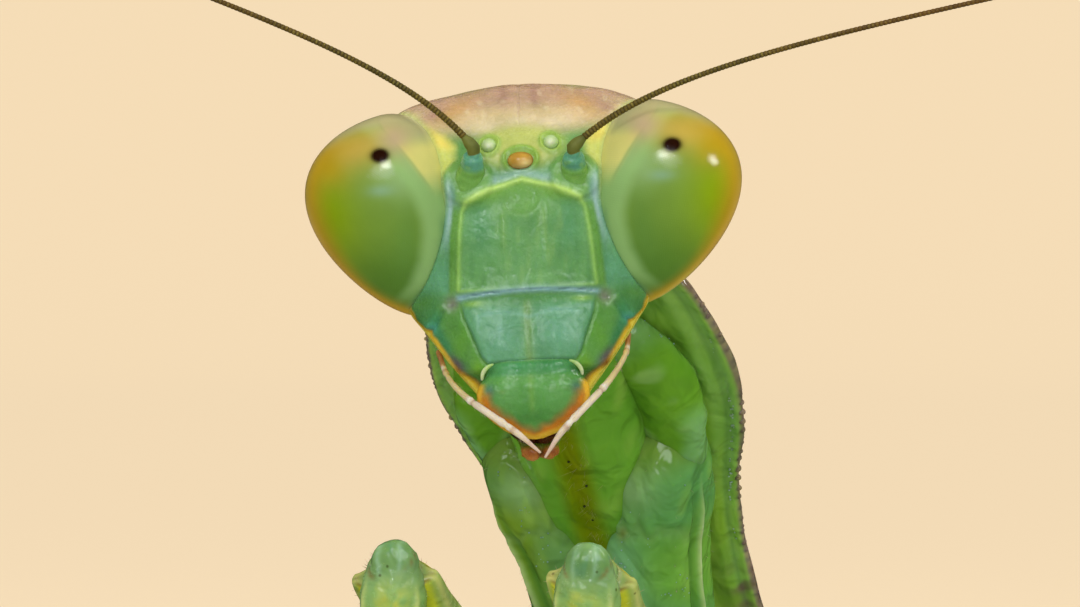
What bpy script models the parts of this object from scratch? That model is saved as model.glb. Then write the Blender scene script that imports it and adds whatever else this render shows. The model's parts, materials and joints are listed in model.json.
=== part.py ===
"""A life-size still model of a large green praying mantis, an adult female standing on its four
walking legs with the front of the body raised and the forelegs folded.

Sizes are in millimetres and are turned into metres as each mesh is made. The animal faces -Y, +X is
its left side as seen from the front, and +Z is up. All places are measured from the middle of the
front margin of the pronotum, the neck shield. stand_on_floor() then sets the feet at Z = 0.
"""

import math

import bmesh
import bpy
import numpy as np
from mathutils import Matrix, Vector

MM = 0.001
GAP = 0.06  # the thin cut between neighbouring pieces

# Pose of the head and of the raised prothorax
HEAD_CENTRE = Vector((0.6, -2.9, 0.1))
HEAD_YAW = 18.0
HEAD_ROLL = -3.2
PROTHORAX_SLOPE = 48.0
FLOOR = -30.5

# Head: height, half width, front, back, squareness of the level section
HEAD_STATIONS = (
    (-2.06, 2.15, -1.38, 1.15, 2.5),
    (-1.95, 2.27, -1.48, 1.30, 2.4),
    (-1.60, 2.52, -1.58, 1.50, 2.2),
    (-1.00, 2.58, -1.64, 1.75, 2.2),
    (-0.30, 2.65, -1.65, 1.87, 2.4),
    (0.40, 2.72, -1.62, 1.93, 2.6),
    (1.05, 2.82, -1.50, 1.95, 2.7),
    (1.55, 2.88, -1.28, 1.95, 2.8),
    (2.02, 2.88, -0.94, 1.92, 2.8),
    (2.42, 2.74, -0.50, 1.82, 2.6),
    (2.72, 2.20, -0.04, 1.62, 2.3),
    (2.92, 1.52, 0.32, 1.40, 2.1),
    (3.03, 0.88, 0.58, 1.16, 2.0),
    (3.08, 0.34, 0.78, 0.98, 2.0),
)
CLYPEUS_STATIONS = (
    (-2.70, 0.88, -1.74, -1.15, 3.5),
    (-2.30, 1.06, -1.82, -1.10, 3.5),
    (-1.80, 1.30, -1.84, -1.10, 3.5),
    (-1.36, 1.50, -1.76, -1.15, 3.5),
)
LABRUM_STATIONS = (
    (-4.33, 0.16, -1.52, -1.30, 2.2),
    (-4.20, 0.50, -1.66, -1.18, 2.3),
    (-4.00, 0.82, -1.80, -1.12, 2.4),
    (-3.75, 1.08, -1.92, -1.10, 2.5),
    (-3.48, 1.17, -1.98, -1.10, 2.6),
    (-3.20, 1.12, -1.98, -1.10, 2.8),
    (-2.98, 1.02, -1.92, -1.10, 3.0),
    (-2.77, 0.90, -1.84, -1.12, 3.2),
)
# Mandible: height, outer edge, front, back, squareness
MANDIBLE_STATIONS = (
    (-4.00, 0.50, -0.95, -0.20, 2.2),
    (-3.80, 0.78, -1.15, 0.00, 2.3),
    (-3.45, 1.14, -1.32, 0.25, 2.4),
    (-3.00, 1.50, -1.42, 0.45, 2.4),
    (-2.50, 1.84, -1.45, 0.60, 2.4),
    (-2.14, 2.08, -1.42, 0.70, 2.4),
)
LABIUM_STATIONS = (
    (-4.80, 0.30, -1.00, -0.62, 2.0),
    (-4.50, 0.48, -0.95, -0.38, 2.1),
    (-4.10, 0.62, -0.12, 0.40, 2.2),
    (-3.40, 0.85, 0.35, 0.90, 2.3),
    (-2.70, 0.95, 0.70, 1.22, 2.3),
    (-2.14, 0.80, 0.80, 1.25, 2.3),
)

# Eye: an egg with its blunt end up, leaning outwards
EYE_CENTRE = Vector((2.45, 0.15, 0.45))
EYE_HALF_LENGTH = 2.17
EYE_HALF_WIDTH_OUT = 1.93
EYE_HALF_WIDTH_IN = 1.42
EYE_HALF_DEPTH = 1.92
EYE_BLUNTNESS = 0.30
EYE_LEAN = 12.4

# Simple eyes: name, place, half width, half depth, half height
OCELLI = (
    ("ocellus_middle", (0.0, -1.32, 1.43), (0.29, 0.30, 0.19)),
    ("ocellus_left", (0.64, -1.10, 1.765), (0.17, 0.30, 0.17)),
    ("ocellus_right", (-0.64, -1.10, 1.765), (0.17, 0.30, 0.17)),
)

# Feelers
SCAPE_BASE = Vector((1.09, -1.25, 0.98))
SCAPE_TIPS = {"left": Vector((1.11, -1.76, 1.50)), "right": Vector((-0.95, -1.76, 1.60))}
FEELER_LENGTH = 25.0
FEELER_THICKNESS = 0.5
FEELER_SWEEP_BACK = 0.010
# sideways lean at the root and far out, in degrees from upright, and the length of the bend
FEELER_BENDS = {"left": (48.9, 80.8, 2.16), "right": (34.8, 66.4, 1.96)}

# The two palps meet a little to the left of the middle.
PALP_ROUTES = {
    "left": (
        (2.02, 0.10, -2.30),
        (1.94, -0.75, -2.70),
        (1.52, -1.62, -3.28),
        (1.04, -2.20, -3.74),
        (0.56, -2.32, -4.20),
        (0.30, -2.20, -4.62),
    ),
    "right": (
        (-1.96, 0.10, -2.45),
        (-1.76, -0.75, -2.98),
        (-1.34, -1.62, -3.44),
        (-0.86, -2.20, -3.80),
        (-0.34, -2.32, -4.18),
        (-0.02, -2.20, -4.54),
    ),
}
PALP_RADII = (0.25, 0.26, 0.26, 0.26, 0.25, 0.20)

# Pronotum: distance behind its front margin, half width, rise of the crest, drop of the rim
PRONOTUM_STATIONS = (
    (0.00, 0.90, 0.25, 0.20),
    (0.50, 2.10, 0.62, 0.26),
    (1.30, 2.85, 0.90, 0.30),
    (2.40, 3.25, 1.10, 0.32),
    (3.50, 3.45, 1.25, 0.34),
    (4.60, 3.47, 1.35, 0.34),
    (5.60, 3.30, 1.35, 0.34),
    (6.80, 2.96, 1.32, 0.34),
    (8.00, 2.74, 1.30, 0.34),
    (9.50, 2.60, 1.28, 0.34),
    (12.0, 2.60, 1.25, 0.34),
    (16.0, 2.62, 1.22, 0.34),
    (19.5, 2.76, 1.15, 0.34),
    (20.8, 2.50, 0.90, 0.30),
    (21.3, 1.60, 0.55, 0.24),
)
# Underside of the prothorax: distance behind the margin, half width, top, bottom
PROSTERNUM_STATIONS = (
    (0.70, 0.90, -0.2, -1.35),
    (1.50, 1.30, 0.1, -1.75),
    (3.20, 1.50, 0.3, -2.05),
    (5.50, 1.50, 0.3, -2.15),
    (8.50, 1.38, 0.3, -2.10),
    (12.5, 1.34, 0.3, -2.05),
    (17.0, 1.52, 0.3, -2.15),
    (20.6, 1.95, 0.1, -2.25),
)
NECK_RADIUS = 1.05

# Rear of the body: distance behind the pronotum's front margin, half width, top, bottom
PTEROTHORAX_STATIONS = (
    (13.9, 1.20, -15.6, -17.4),
    (14.6, 2.05, -14.9, -18.3),
    (16.2, 3.00, -14.4, -19.6),
    (19.0, 3.75, -14.1, -20.8),
    (22.0, 4.00, -14.0, -21.0),
    (25.0, 3.95, -14.1, -20.6),
    (26.4, 3.70, -14.3, -20.0),
)
ABDOMEN_STATIONS = (
    (26.0, 3.60, -14.4, -19.9),
    (30.0, 4.35, -14.5, -20.6),
    (35.0, 5.00, -14.7, -21.2),
    (40.0, 5.25, -14.9, -21.4),
    (45.0, 5.00, -15.2, -21.0),
    (50.0, 4.10, -15.6, -20.2),
    (53.5, 2.90, -16.1, -19.4),
    (56.0, 1.50, -16.8, -18.5),
)
ABDOMEN_CUTS = (26.5, 33.0, 40.0, 47.5, 56.0)
ABDOMEN_NAMES = ("abdomen_front", "abdomen_middle", "abdomen_rear", "abdomen_tip")

# Folded forewing: distance behind the margin, inner edge, outer edge, both from the midline
TEGMEN_STATIONS = (
    (16.6, -0.60, 2.60),
    (18.5, -1.20, 4.40),
    (22.0, -1.70, 5.40),
    (30.0, -2.20, 6.10),
    (40.0, -2.40, 6.20),
    (48.0, -2.30, 5.60),
    (54.0, -1.70, 4.20),
    (57.0, -0.80, 2.70),
    (58.4, 0.20, 1.30),
)
TEGMEN_THICKNESS = 0.5
TEGMEN_HEIGHT = -13.35
TEGMEN_ARCH = 0.052
TEGMEN_FALL = 0.030
TEGMEN_OVERLAP_LIFT = 0.72

# Foreleg joints, for the left leg. The right leg mirrors them.
FORE_HIP = Vector((1.15, 3.00, -4.00))
FORE_ELBOW = Vector((0.92, 10.2, -18.0))
FORE_KNEE = Vector((2.23, -3.90, -6.66))
FORE_SHIN_END = Vector((2.20, 3.20, -15.00))
FORE_CLAW_TIP = Vector((1.90, 5.90, -16.60))
FORE_TOE = Vector((3.80, 0.00, -20.60))
COXA_BACK = Vector((0.34, 0.94, 0.50))
FEMUR_BACK = Vector((0.0, 1.0, 0.55))
# distance along, outward shift, half width, rise on the side of the body, fall on the far side
FORE_COXA_STATIONS = (
    (0.00, 0.40, 0.50, 0.50, 0.50),
    (0.50, 0.38, 0.92, 1.00, 1.00),
    (1.60, 0.26, 1.06, 1.20, 1.20),
    (3.00, 0.04, 0.88, 1.20, 1.20),
    (4.60, -0.04, 0.76, 1.15, 1.15),
    (8.50, -0.04, 0.70, 1.10, 1.10),
    (12.5, 0.00, 0.70, 1.00, 1.00),
    (14.9, 0.00, 0.72, 0.85, 0.85),
    (15.7, 0.00, 0.45, 0.50, 0.50),
)
FORE_FEMUR_STATIONS = (
    (0.00, 0.00, 0.45, 0.50, 0.55),
    (0.70, 0.00, 0.72, 0.90, 0.82),
    (2.00, 0.00, 0.86, 1.30, 0.95),
    (4.20, 0.00, 1.02, 1.95, 1.10),
    (7.00, 0.00, 1.10, 2.10, 1.15),
    (10.5, 0.00, 1.08, 1.60, 1.08),
    (14.0, 0.00, 1.00, 0.95, 0.92),
    (16.6, 0.00, 0.95, 0.66, 0.75),
    (17.38, 0.00, 1.00, 0.62, 0.65),
    (17.46, 0.00, 0.72, 0.60, 0.60),
    (17.82, 0.00, 0.60, 0.50, 0.48),
    (18.10, 0.00, 0.34, 0.32, 0.28),
)
FEMUR_SPINE_LENGTHS = (1.5, 1.0, 1.6, 1.0, 1.3)
SHIN_SPINE_COUNT = 4

# Walking legs, for the left side: hip, knuckle below it, knee, ankle, toe
TOE_HEIGHT = 0.24
WALKING_LEGS = {
    "mid": (
        Vector((2.30, 18.0, -19.6)),
        Vector((4.40, 16.8, -21.6)),
        Vector((14.8, 8.20, -16.4)),
        Vector((18.4, 4.20, -29.4)),
        Vector((21.6, -2.40, FLOOR + TOE_HEIGHT)),
    ),
    "hind": (
        Vector((2.40, 23.4, -19.6)),
        Vector((4.60, 24.4, -21.6)),
        Vector((16.0, 38.4, -12.8)),
        Vector((20.6, 49.6, -29.4)),
        Vector((24.0, 58.0, FLOOR + TOE_HEIGHT)),
    ),
}
WALKING_COXA_RADII = (1.05, 1.20, 0.85)
WALKING_FEMUR_RADII = (0.62, 0.80, 0.70, 0.55, 0.62)
WALKING_TIBIA_RADII = (0.48, 0.46, 0.42, 0.40, 0.46)
TARSUS_RADII = (0.36, 0.31, 0.35, 0.30, 0.34, 0.30, 0.32, 0.27)

CERCUS_ROOT = Vector((1.05, 54.9, -17.2))
CERCUS_TIP = Vector((2.90, 60.6, -16.4))

SIDES = (("left", 1.0), ("right", -1.0))

COLOURS = {
    "cuticle": ((0.13, 0.36, 0.07), 0.45),
    "face": ((0.12, 0.42, 0.18), 0.40),
    "compound_eye": ((0.26, 0.36, 0.03), 0.18),
    "ocellus": ((0.62, 0.38, 0.06), 0.10),
    "feeler": ((0.16, 0.11, 0.02), 0.55),
    "palp": ((0.70, 0.58, 0.42), 0.50),
    "mouthpart": ((0.62, 0.25, 0.03), 0.40),
    "wing": ((0.15, 0.40, 0.06), 0.50),
    "membrane": ((0.40, 0.46, 0.14), 0.60),
}


# ---------------------------------------------------------------- scene and helpers


def clear_scene():
    for obj in list(bpy.data.objects):
        bpy.data.objects.remove(obj, do_unlink=True)


def new_collection(name):
    collection = bpy.data.collections.new(name)
    bpy.context.scene.collection.children.link(collection)
    return collection


def new_material(name, colour, roughness):
    material = bpy.data.materials.new(name)
    material.use_nodes = True
    shader = material.node_tree.nodes["Principled BSDF"]
    shader.inputs["Base Color"].default_value = (*colour, 1.0)
    shader.inputs["Roughness"].default_value = roughness
    shader.inputs["Metallic"].default_value = 0.0
    return material


def new_object(name, mesh, material, parent=None):
    """An object of the mantis, from a mesh in metres, in its parent's frame."""
    obj = bpy.data.objects.new(name, mesh)
    MANTIS.objects.link(obj)
    obj.parent = parent
    mesh.materials.append(MATERIALS[material])
    mesh.shade_smooth()
    return obj


def new_frame(name, location, rotation=(0.0, 0.0, 0.0)):
    """An empty that carries pieces. Location in mm, rotation in degrees."""
    empty = bpy.data.objects.new(name, None)
    MANTIS.objects.link(empty)
    empty.location = Vector(location) * MM
    empty.rotation_euler = [math.radians(angle) for angle in rotation]
    return empty


def matrix_of(frame):
    """The frame's matrix with its place in mm."""
    turn = frame.rotation_euler.to_matrix().to_4x4()
    return Matrix.Translation(frame.location / MM) @ turn


def mirrored(point, sign):
    return Vector((point[0] * sign, point[1], point[2]))


def resample(stations, keys):
    """Rows of the table at the given values of its first column, on a smooth curve."""
    table = np.array(stations, float)
    at = table[:, 0]
    slope = np.gradient(table, at, axis=0)
    i = np.clip(np.searchsorted(at, keys, side="right") - 1, 0, len(at) - 2)
    step = (at[i + 1] - at[i])[:, None]
    t = (np.asarray(keys) - at[i])[:, None] / step
    return (
        (2 * t**3 - 3 * t**2 + 1) * table[i]
        + (t**3 - 2 * t**2 + t) * step * slope[i]
        + (3 * t**2 - 2 * t**3) * table[i + 1]
        + (t**3 - t**2) * step * slope[i + 1]
    )


def spread_keys(stations, between):
    """The stations' own keys with evenly spaced ones between each two."""
    keys = [row[0] for row in stations]
    made = []
    for low, high in zip(keys, keys[1:]):
        made += list(np.linspace(low, high, between + 2)[:-1])
    return np.array(made + [keys[-1]])


def oval(width, rise, fall, power, count):
    """A flat superellipse as (across, up) pairs, with its own height above and below the axis."""
    angles = np.linspace(0, 2 * math.pi, count, endpoint=False)
    cos, sin = np.cos(angles), np.sin(angles)
    across = width * np.sign(cos) * np.abs(cos) ** (2 / power)
    up = np.sign(sin) * np.abs(sin) ** (2 / power)
    return np.stack([across, np.where(sin > 0, up * rise, up * fall)], axis=1)


def loft(rings):
    """A closed mesh over rings of points in mm, with a fan to the middle of each end ring."""
    build = bmesh.new()
    rows = [[build.verts.new(Vector(p) * MM) for p in ring] for ring in rings]
    for low, high in zip(rows, rows[1:]):
        for i, vertex in enumerate(low):
            build.faces.new((vertex, low[i - 1], high[i - 1], high[i]))
    for row in (rows[0], rows[-1]):
        middle = build.verts.new(sum((v.co for v in row), Vector()) / len(row))
        for i, vertex in enumerate(row):
            build.faces.new((row[i - 1], vertex, middle))
    bmesh.ops.recalc_face_normals(build, faces=build.faces)
    mesh = bpy.data.meshes.new("loft")
    build.to_mesh(mesh)
    build.free()
    return mesh


def upright_loft(stations, between, count, inner_edge=None):
    """A loft of level sections: height, half width or outer edge, front, back, squareness."""
    rings = []
    for height, width, front, back, power in resample(stations, spread_keys(stations, between)):
        middle, half = 0.0, width
        if inner_edge is not None:
            middle, half = (width + inner_edge) / 2, (width - inner_edge) / 2
        depth = (back - front) / 2
        flat = oval(half, depth, depth, power, count)
        rings.append([(middle + x, (front + back) / 2 + y, height) for x, y in flat])
    return loft(rings)


def lengthwise_loft(stations, between, count, power):
    """A loft of sections across Y: distance, half width, top, bottom."""
    rings = []
    for along, width, top, bottom in resample(stations, spread_keys(stations, between)):
        half = (top - bottom) / 2
        flat = oval(width, half, half, power, count)
        rings.append([(x, along, (top + bottom) / 2 + z) for x, z in flat])
    return loft(rings)


def limb_frame(start, end, up):
    """A matrix in mm whose +Y runs from start to end, with +Z towards up."""
    along = (end - start).normalized()
    across = along.cross(up).normalized()
    turn = Matrix((across, along, across.cross(along))).transposed()
    return Matrix.Translation(start) @ turn.to_4x4()


def limb_loft(stations, frame, outward, count, power):
    """A loft along a limb: distance, outward shift, half width, rise, fall, in the limb's frame."""
    rings = []
    for along_y, shift, width, rise, fall in stations:
        flat = oval(width, rise, fall, power, count)
        rings.append([frame @ Vector((x + shift * outward, along_y, z)) for x, z in flat])
    return loft(rings)


def smooth_route(points, count):
    """Evenly spread points on a smooth curve through a route."""
    route = np.array(points, float)
    steps = np.linalg.norm(np.diff(route, axis=0), axis=1)
    keys = np.concatenate([[0], np.cumsum(steps)])
    table = np.column_stack([keys, route])
    return resample(table, np.linspace(0, keys[-1], count))[:, 1:]


def tube(points, radii, bevel_resolution=1, round_ends=True):
    """A closed mesh tube along points in mm. Its ends are rounded with two more points each."""
    points = [Vector(p) for p in points]
    radii = [float(r) for r in radii]
    if round_ends:
        first = (points[0] - points[1]).normalized()
        last = (points[-1] - points[-2]).normalized()
        points = [points[0] + first * radii[0] * 0.55] + points + [points[-1] + last * radii[-1] * 0.55]
        radii = [radii[0] * 0.6] + radii + [radii[-1] * 0.6]
    curve = bpy.data.curves.new("tube", "CURVE")
    curve.dimensions = "3D"
    curve.bevel_depth = MM
    curve.bevel_resolution = bevel_resolution
    curve.use_fill_caps = True
    spline = curve.splines.new("POLY")
    spline.points.add(len(points) - 1)
    for node, point, radius in zip(spline.points, points, radii):
        node.co = (*(point * MM), 1.0)
        node.radius = radius
    guide = bpy.data.objects.new("tube", curve)
    bpy.context.scene.collection.objects.link(guide)
    graph = bpy.context.evaluated_depsgraph_get()
    mesh = bpy.data.meshes.new_from_object(guide.evaluated_get(graph))
    bpy.data.objects.remove(guide)
    build = bmesh.new()
    build.from_mesh(mesh)
    bmesh.ops.remove_doubles(build, verts=build.verts, dist=1e-7)
    bmesh.ops.recalc_face_normals(build, faces=build.faces)
    build.to_mesh(mesh)
    build.free()
    return mesh


def along(start, end, radii):
    """Even points from start to end, one for each radius."""
    return [start.lerp(end, i / (len(radii) - 1)) for i in range(len(radii))]


def spines(roots):
    """Cones in one mesh: (root, tip, radius) for each, in mm. A root lies inside what it grows from."""
    build = bmesh.new()
    for root, tip, radius in roots:
        reach = tip - root
        turn = reach.to_track_quat("Z", "Y").to_matrix().to_4x4()
        place = Matrix.Translation((root + tip) / 2 * MM) @ turn
        bmesh.ops.create_cone(
            build,
            cap_ends=True,
            segments=4,
            radius1=radius * MM,
            radius2=radius * 0.15 * MM,
            depth=reach.length * MM,
            matrix=place,
        )
    mesh = bpy.data.meshes.new("spines")
    build.to_mesh(mesh)
    build.free()
    return mesh


def helper(mesh, matrix):
    """A cutter or a joined extra, which isn't a node itself."""
    obj = bpy.data.objects.new("helper", mesh)
    CUTTERS.objects.link(obj)
    obj.matrix_world = matrix
    obj.hide_render = True
    obj.display_type = "WIRE"
    return obj


def boolean(piece, other, operation):
    modifier = piece.modifiers.new(operation.lower(), "BOOLEAN")
    modifier.operation = operation
    modifier.object = other
    modifier.solver = "EXACT"


def world_matrix(obj):
    bpy.context.view_layer.update()
    return obj.matrix_world.copy()


def settle(piece):
    """Turns the piece's modifiers so far into its own mesh."""
    bpy.context.view_layer.update()
    graph = bpy.context.evaluated_depsgraph_get()
    mesh = bpy.data.meshes.new_from_object(piece.evaluated_get(graph))
    piece.modifiers.clear()
    piece.data = mesh


def join_extras(piece, extras):
    """Joins a mesh of extras, made in the same frame as the piece."""
    other = helper(extras, world_matrix(piece))
    boolean(piece, other, "UNION")
    settle(piece)
    bpy.data.objects.remove(other)


def trim(piece, *neighbours):
    """Cuts the piece back so that it meets each neighbour with a thin gap."""
    for neighbour in neighbours:
        build = bmesh.new()
        build.from_mesh(neighbour.data)
        build.normal_update()
        for vertex, normal in [(v, v.normal.copy()) for v in build.verts]:
            vertex.co += normal * GAP * MM
        mesh = bpy.data.meshes.new("cutter")
        build.to_mesh(mesh)
        build.free()
        boolean(piece, helper(mesh, world_matrix(neighbour)), "DIFFERENCE")


# ---------------------------------------------------------------- head


def build_eye(side, sign, head):
    build = bmesh.new()
    bmesh.ops.create_uvsphere(build, u_segments=18, v_segments=11, radius=1.0)
    lean = math.radians(EYE_LEAN)
    for vertex in build.verts:
        x, y, z = vertex.co
        girth = 1 + EYE_BLUNTNESS * z
        half_width = EYE_HALF_WIDTH_OUT * girth if x > 0 else EYE_HALF_WIDTH_IN
        across, rise = x * half_width, z * EYE_HALF_LENGTH
        place = Vector(
            (
                across * math.cos(lean) + rise * math.sin(lean),
                y * EYE_HALF_DEPTH * girth,
                rise * math.cos(lean) - across * math.sin(lean),
            )
        )
        vertex.co = mirrored(EYE_CENTRE + place, sign) * MM
    bmesh.ops.recalc_face_normals(build, faces=build.faces)
    mesh = bpy.data.meshes.new("eye")
    build.to_mesh(mesh)
    build.free()
    return new_object(f"eye_{side}", mesh, "compound_eye", head)


def build_ocelli(head, capsule):
    for name, place, half in OCELLI:
        build = bmesh.new()
        bmesh.ops.create_uvsphere(build, u_segments=10, v_segments=6, radius=MM)
        bmesh.ops.scale(build, verts=build.verts, vec=half)
        bmesh.ops.translate(build, verts=build.verts, vec=Vector(place) * MM)
        mesh = bpy.data.meshes.new(name)
        build.to_mesh(mesh)
        build.free()
        trim(new_object(name, mesh, "ocellus", head), capsule)


def feeler_route(side, sign):
    """Points of a feeler's whip: its sideways lean eases from the root's to the far one."""
    root_lean, far_lean, bend = FEELER_BENDS[side]
    count = 60
    step = FEELER_LENGTH / count
    place = SCAPE_TIPS[side] + Vector((0.0, -0.06, 0.14))
    points = [place.copy()]
    for i in range(count):
        reach = (i + 0.5) * step
        lean = math.radians(far_lean + (root_lean - far_lean) * math.exp(-reach / bend))
        sweep = 2 * FEELER_SWEEP_BACK * reach
        place += Vector((sign * math.sin(lean), sweep, math.cos(lean))) * step
        points.append(place.copy())
    return points


def build_feeler(side, sign, head, capsule):
    radii = (0.32, 0.34, 0.25)
    root, tip = mirrored(SCAPE_BASE, sign), SCAPE_TIPS[side]
    scape = new_object(f"scape_{side}", tube(along(root, tip, radii), radii), "face", head)
    trim(scape, capsule)
    route = feeler_route(side, sign)
    near = [route[i] for i in (0, 3, 6, 10, 15, 22)]
    far = [route[i] for i in (22, 31, 40, 50, 60)]
    radius = FEELER_THICKNESS / 2
    base = new_object(
        f"feeler_{side}_base", tube(near, [radius] * len(near), 1), "feeler", head
    )
    tip = new_object(f"feeler_{side}_tip", tube(far, [radius] * len(far), 1), "feeler", head)
    trim(base, scape)
    trim(tip, base)


def build_head():
    head = new_frame("head_frame", HEAD_CENTRE, (0.0, HEAD_ROLL, HEAD_YAW))
    eyes = [build_eye(side, sign, head) for side, sign in SIDES]
    capsule = new_object("head_capsule", upright_loft(HEAD_STATIONS, 0, 22), "face", head)
    clypeus = new_object("clypeus", upright_loft(CLYPEUS_STATIONS, 0, 16), "face", head)
    labrum = new_object("labrum", upright_loft(LABRUM_STATIONS, 0, 14), "mouthpart", head)
    trim(labrum, clypeus)
    trim(capsule, *eyes, clypeus)
    labium = new_object("labium", upright_loft(LABIUM_STATIONS, 0, 12), "mouthpart", head)
    mandibles = []
    for side, sign in SIDES:
        mesh = upright_loft(MANDIBLE_STATIONS, 0, 10, inner_edge=GAP)
        mandible = new_object(f"mandible_{side}", mesh, "face", head)
        if sign < 0:
            mesh.transform(Matrix.Scale(-1, 4, (1, 0, 0)))
            mesh.flip_normals()
        trim(mandible, capsule, clypeus, labrum, labium)
        mandibles.append(mandible)
    for (side, sign), mandible in zip(SIDES, mandibles):
        route = smooth_route(PALP_ROUTES[side], 7)
        radii = np.interp(np.linspace(0, 1, 7), np.linspace(0, 1, 6), PALP_RADII)
        palp = new_object(f"palp_{side}", tube(route, radii, 1), "palp", head)
        trim(palp, mandible, labrum, capsule)
        build_feeler(side, sign, head, capsule)
    build_ocelli(head, capsule)
    return head, capsule, labium


# ---------------------------------------------------------------- prothorax and neck


def build_prothorax(head, capsule):
    prothorax = new_frame("prothorax_frame", (0, 0, 0), (-PROTHORAX_SLOPE, 0.0, 0.0))
    rings = []
    for along_y, width, rise, fall in resample(PRONOTUM_STATIONS, spread_keys(PRONOTUM_STATIONS, 0)):
        flat = oval(width, rise, fall, 1.75, 16)
        rings.append([(x, along_y, z) for x, z in flat])
    pronotum = new_object("pronotum", loft(rings), "cuticle", prothorax)
    prosternum = new_object(
        "prosternum", lengthwise_loft(PROSTERNUM_STATIONS, 0, 12, 2.3), "cuticle", prothorax
    )
    trim(prosternum, pronotum)
    head_matrix, prothorax_matrix = matrix_of(head), matrix_of(prothorax)
    neck_ends = head_matrix @ Vector((0.0, 1.30, -0.45)), prothorax_matrix @ Vector((0.0, 1.60, -0.85))
    radii = (NECK_RADIUS, NECK_RADIUS)
    neck = new_object("neck", tube(along(*neck_ends, radii), radii), "membrane")
    trim(neck, capsule, pronotum, prosternum)
    return pronotum, prosternum


# ---------------------------------------------------------------- forelegs


def femur_spines(frame, length):
    """Two rows of spines on the side of the femur that the shin folds against."""
    made = []
    for row in (-1, 1):
        for i, reach in enumerate(FEMUR_SPINE_LENGTHS):
            at = 3.6 + i * (length - 6.6) / len(FEMUR_SPINE_LENGTHS)
            root = frame @ Vector((row * 0.62, at, -0.55))
            tip = frame @ Vector((row * 0.86, at + 0.35, -0.95 - 0.75 * reach))
            made.append((root, tip, 0.24))
    return spines(made)


def build_foreleg(side, sign, prosternum, pronotum):
    hip, elbow, knee = (mirrored(p, sign) for p in (FORE_HIP, FORE_ELBOW, FORE_KNEE))
    shin_end, claw_tip, toe = (mirrored(p, sign) for p in (FORE_SHIN_END, FORE_CLAW_TIP, FORE_TOE))
    frame = limb_frame(hip, elbow, mirrored(COXA_BACK, sign))
    coxa = new_object(
        f"fore_coxa_{side}", limb_loft(FORE_COXA_STATIONS, frame, sign, 10, 2.3), "cuticle"
    )
    trim(coxa, prosternum, pronotum)
    frame = limb_frame(elbow, knee, FEMUR_BACK)
    femur = new_object(
        f"fore_femur_{side}", limb_loft(FORE_FEMUR_STATIONS, frame, sign, 10, 2.2), "cuticle"
    )
    join_extras(femur, femur_spines(frame, (knee - elbow).length))
    trim(femur, coxa)
    far_side = (frame.to_3x3() @ Vector((0.0, 0.0, -1.0))).normalized()
    shin_start = knee.lerp(elbow, 0.01) + far_side * 0.30
    bend = shin_start.lerp(shin_end, 0.14) + far_side * 1.30
    middle = shin_start.lerp(shin_end, 0.55) + far_side * 0.95
    route = smooth_route([shin_start, bend, middle, shin_end], 7)
    tibia = new_object(
        f"fore_tibia_{side}",
        tube(route, (0.60, 0.68, 0.62, 0.54, 0.49, 0.45, 0.41), 1),
        "cuticle",
    )
    inward = -far_side
    rows = []
    shin_side = frame.to_3x3() @ Vector((1.0, 0.0, 0.0))
    for i in range(SHIN_SPINE_COUNT):
        at = Vector(route[2]).lerp(Vector(route[-1]), i / SHIN_SPINE_COUNT)
        for row in (-1, 1):
            root = at + shin_side * row * 0.2
            rows.append((root, root + inward * 0.85 + shin_side * row * 0.08, 0.15))
    rows.append((Vector(route[-1]) - inward * 0.05, claw_tip, 0.34))
    join_extras(tibia, spines(rows))
    trim(tibia, femur)
    toe_start = shin_end + far_side * 0.15
    toe_route = smooth_route([toe_start, shin_end.lerp(toe, 0.5) + far_side * 0.4, toe], 8)
    tarsus = new_object(f"fore_tarsus_{side}", tube(toe_route, TARSUS_RADII, 1), "cuticle")
    trim(tarsus, tibia)


# ---------------------------------------------------------------- rear of the body


def build_rear(prosternum, pronotum):
    pterothorax = new_object(
        "pterothorax", lengthwise_loft(PTEROTHORAX_STATIONS, 0, 16, 2.3), "cuticle"
    )
    trim(pterothorax, prosternum, pronotum)
    sections = []
    for name, start, end in zip(ABDOMEN_NAMES, ABDOMEN_CUTS, ABDOMEN_CUTS[1:]):
        keys = np.linspace(start, end - GAP, 4)
        stations = resample(ABDOMEN_STATIONS, keys)
        section = new_object(name, lengthwise_loft([tuple(r) for r in stations], 0, 16, 2.2), "cuticle")
        sections.append(section)
    trim(sections[0], pterothorax)
    for side, sign in SIDES:
        root, tip = mirrored(CERCUS_ROOT, sign), mirrored(CERCUS_TIP, sign)
        radii = (0.32, 0.42, 0.40, 0.34, 0.25)
        cercus = new_object(f"cercus_{side}", tube(along(root, tip, radii), radii, 1), "cuticle")
        trim(cercus, sections[-1])
    return pterothorax, sections


def tegmen_height(x, y, lift):
    """Height of a folded forewing's upper face: arched over the body and falling to the rear."""
    return TEGMEN_HEIGHT + lift - TEGMEN_ARCH * x * x - TEGMEN_FALL * (y - 16.6)


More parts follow.
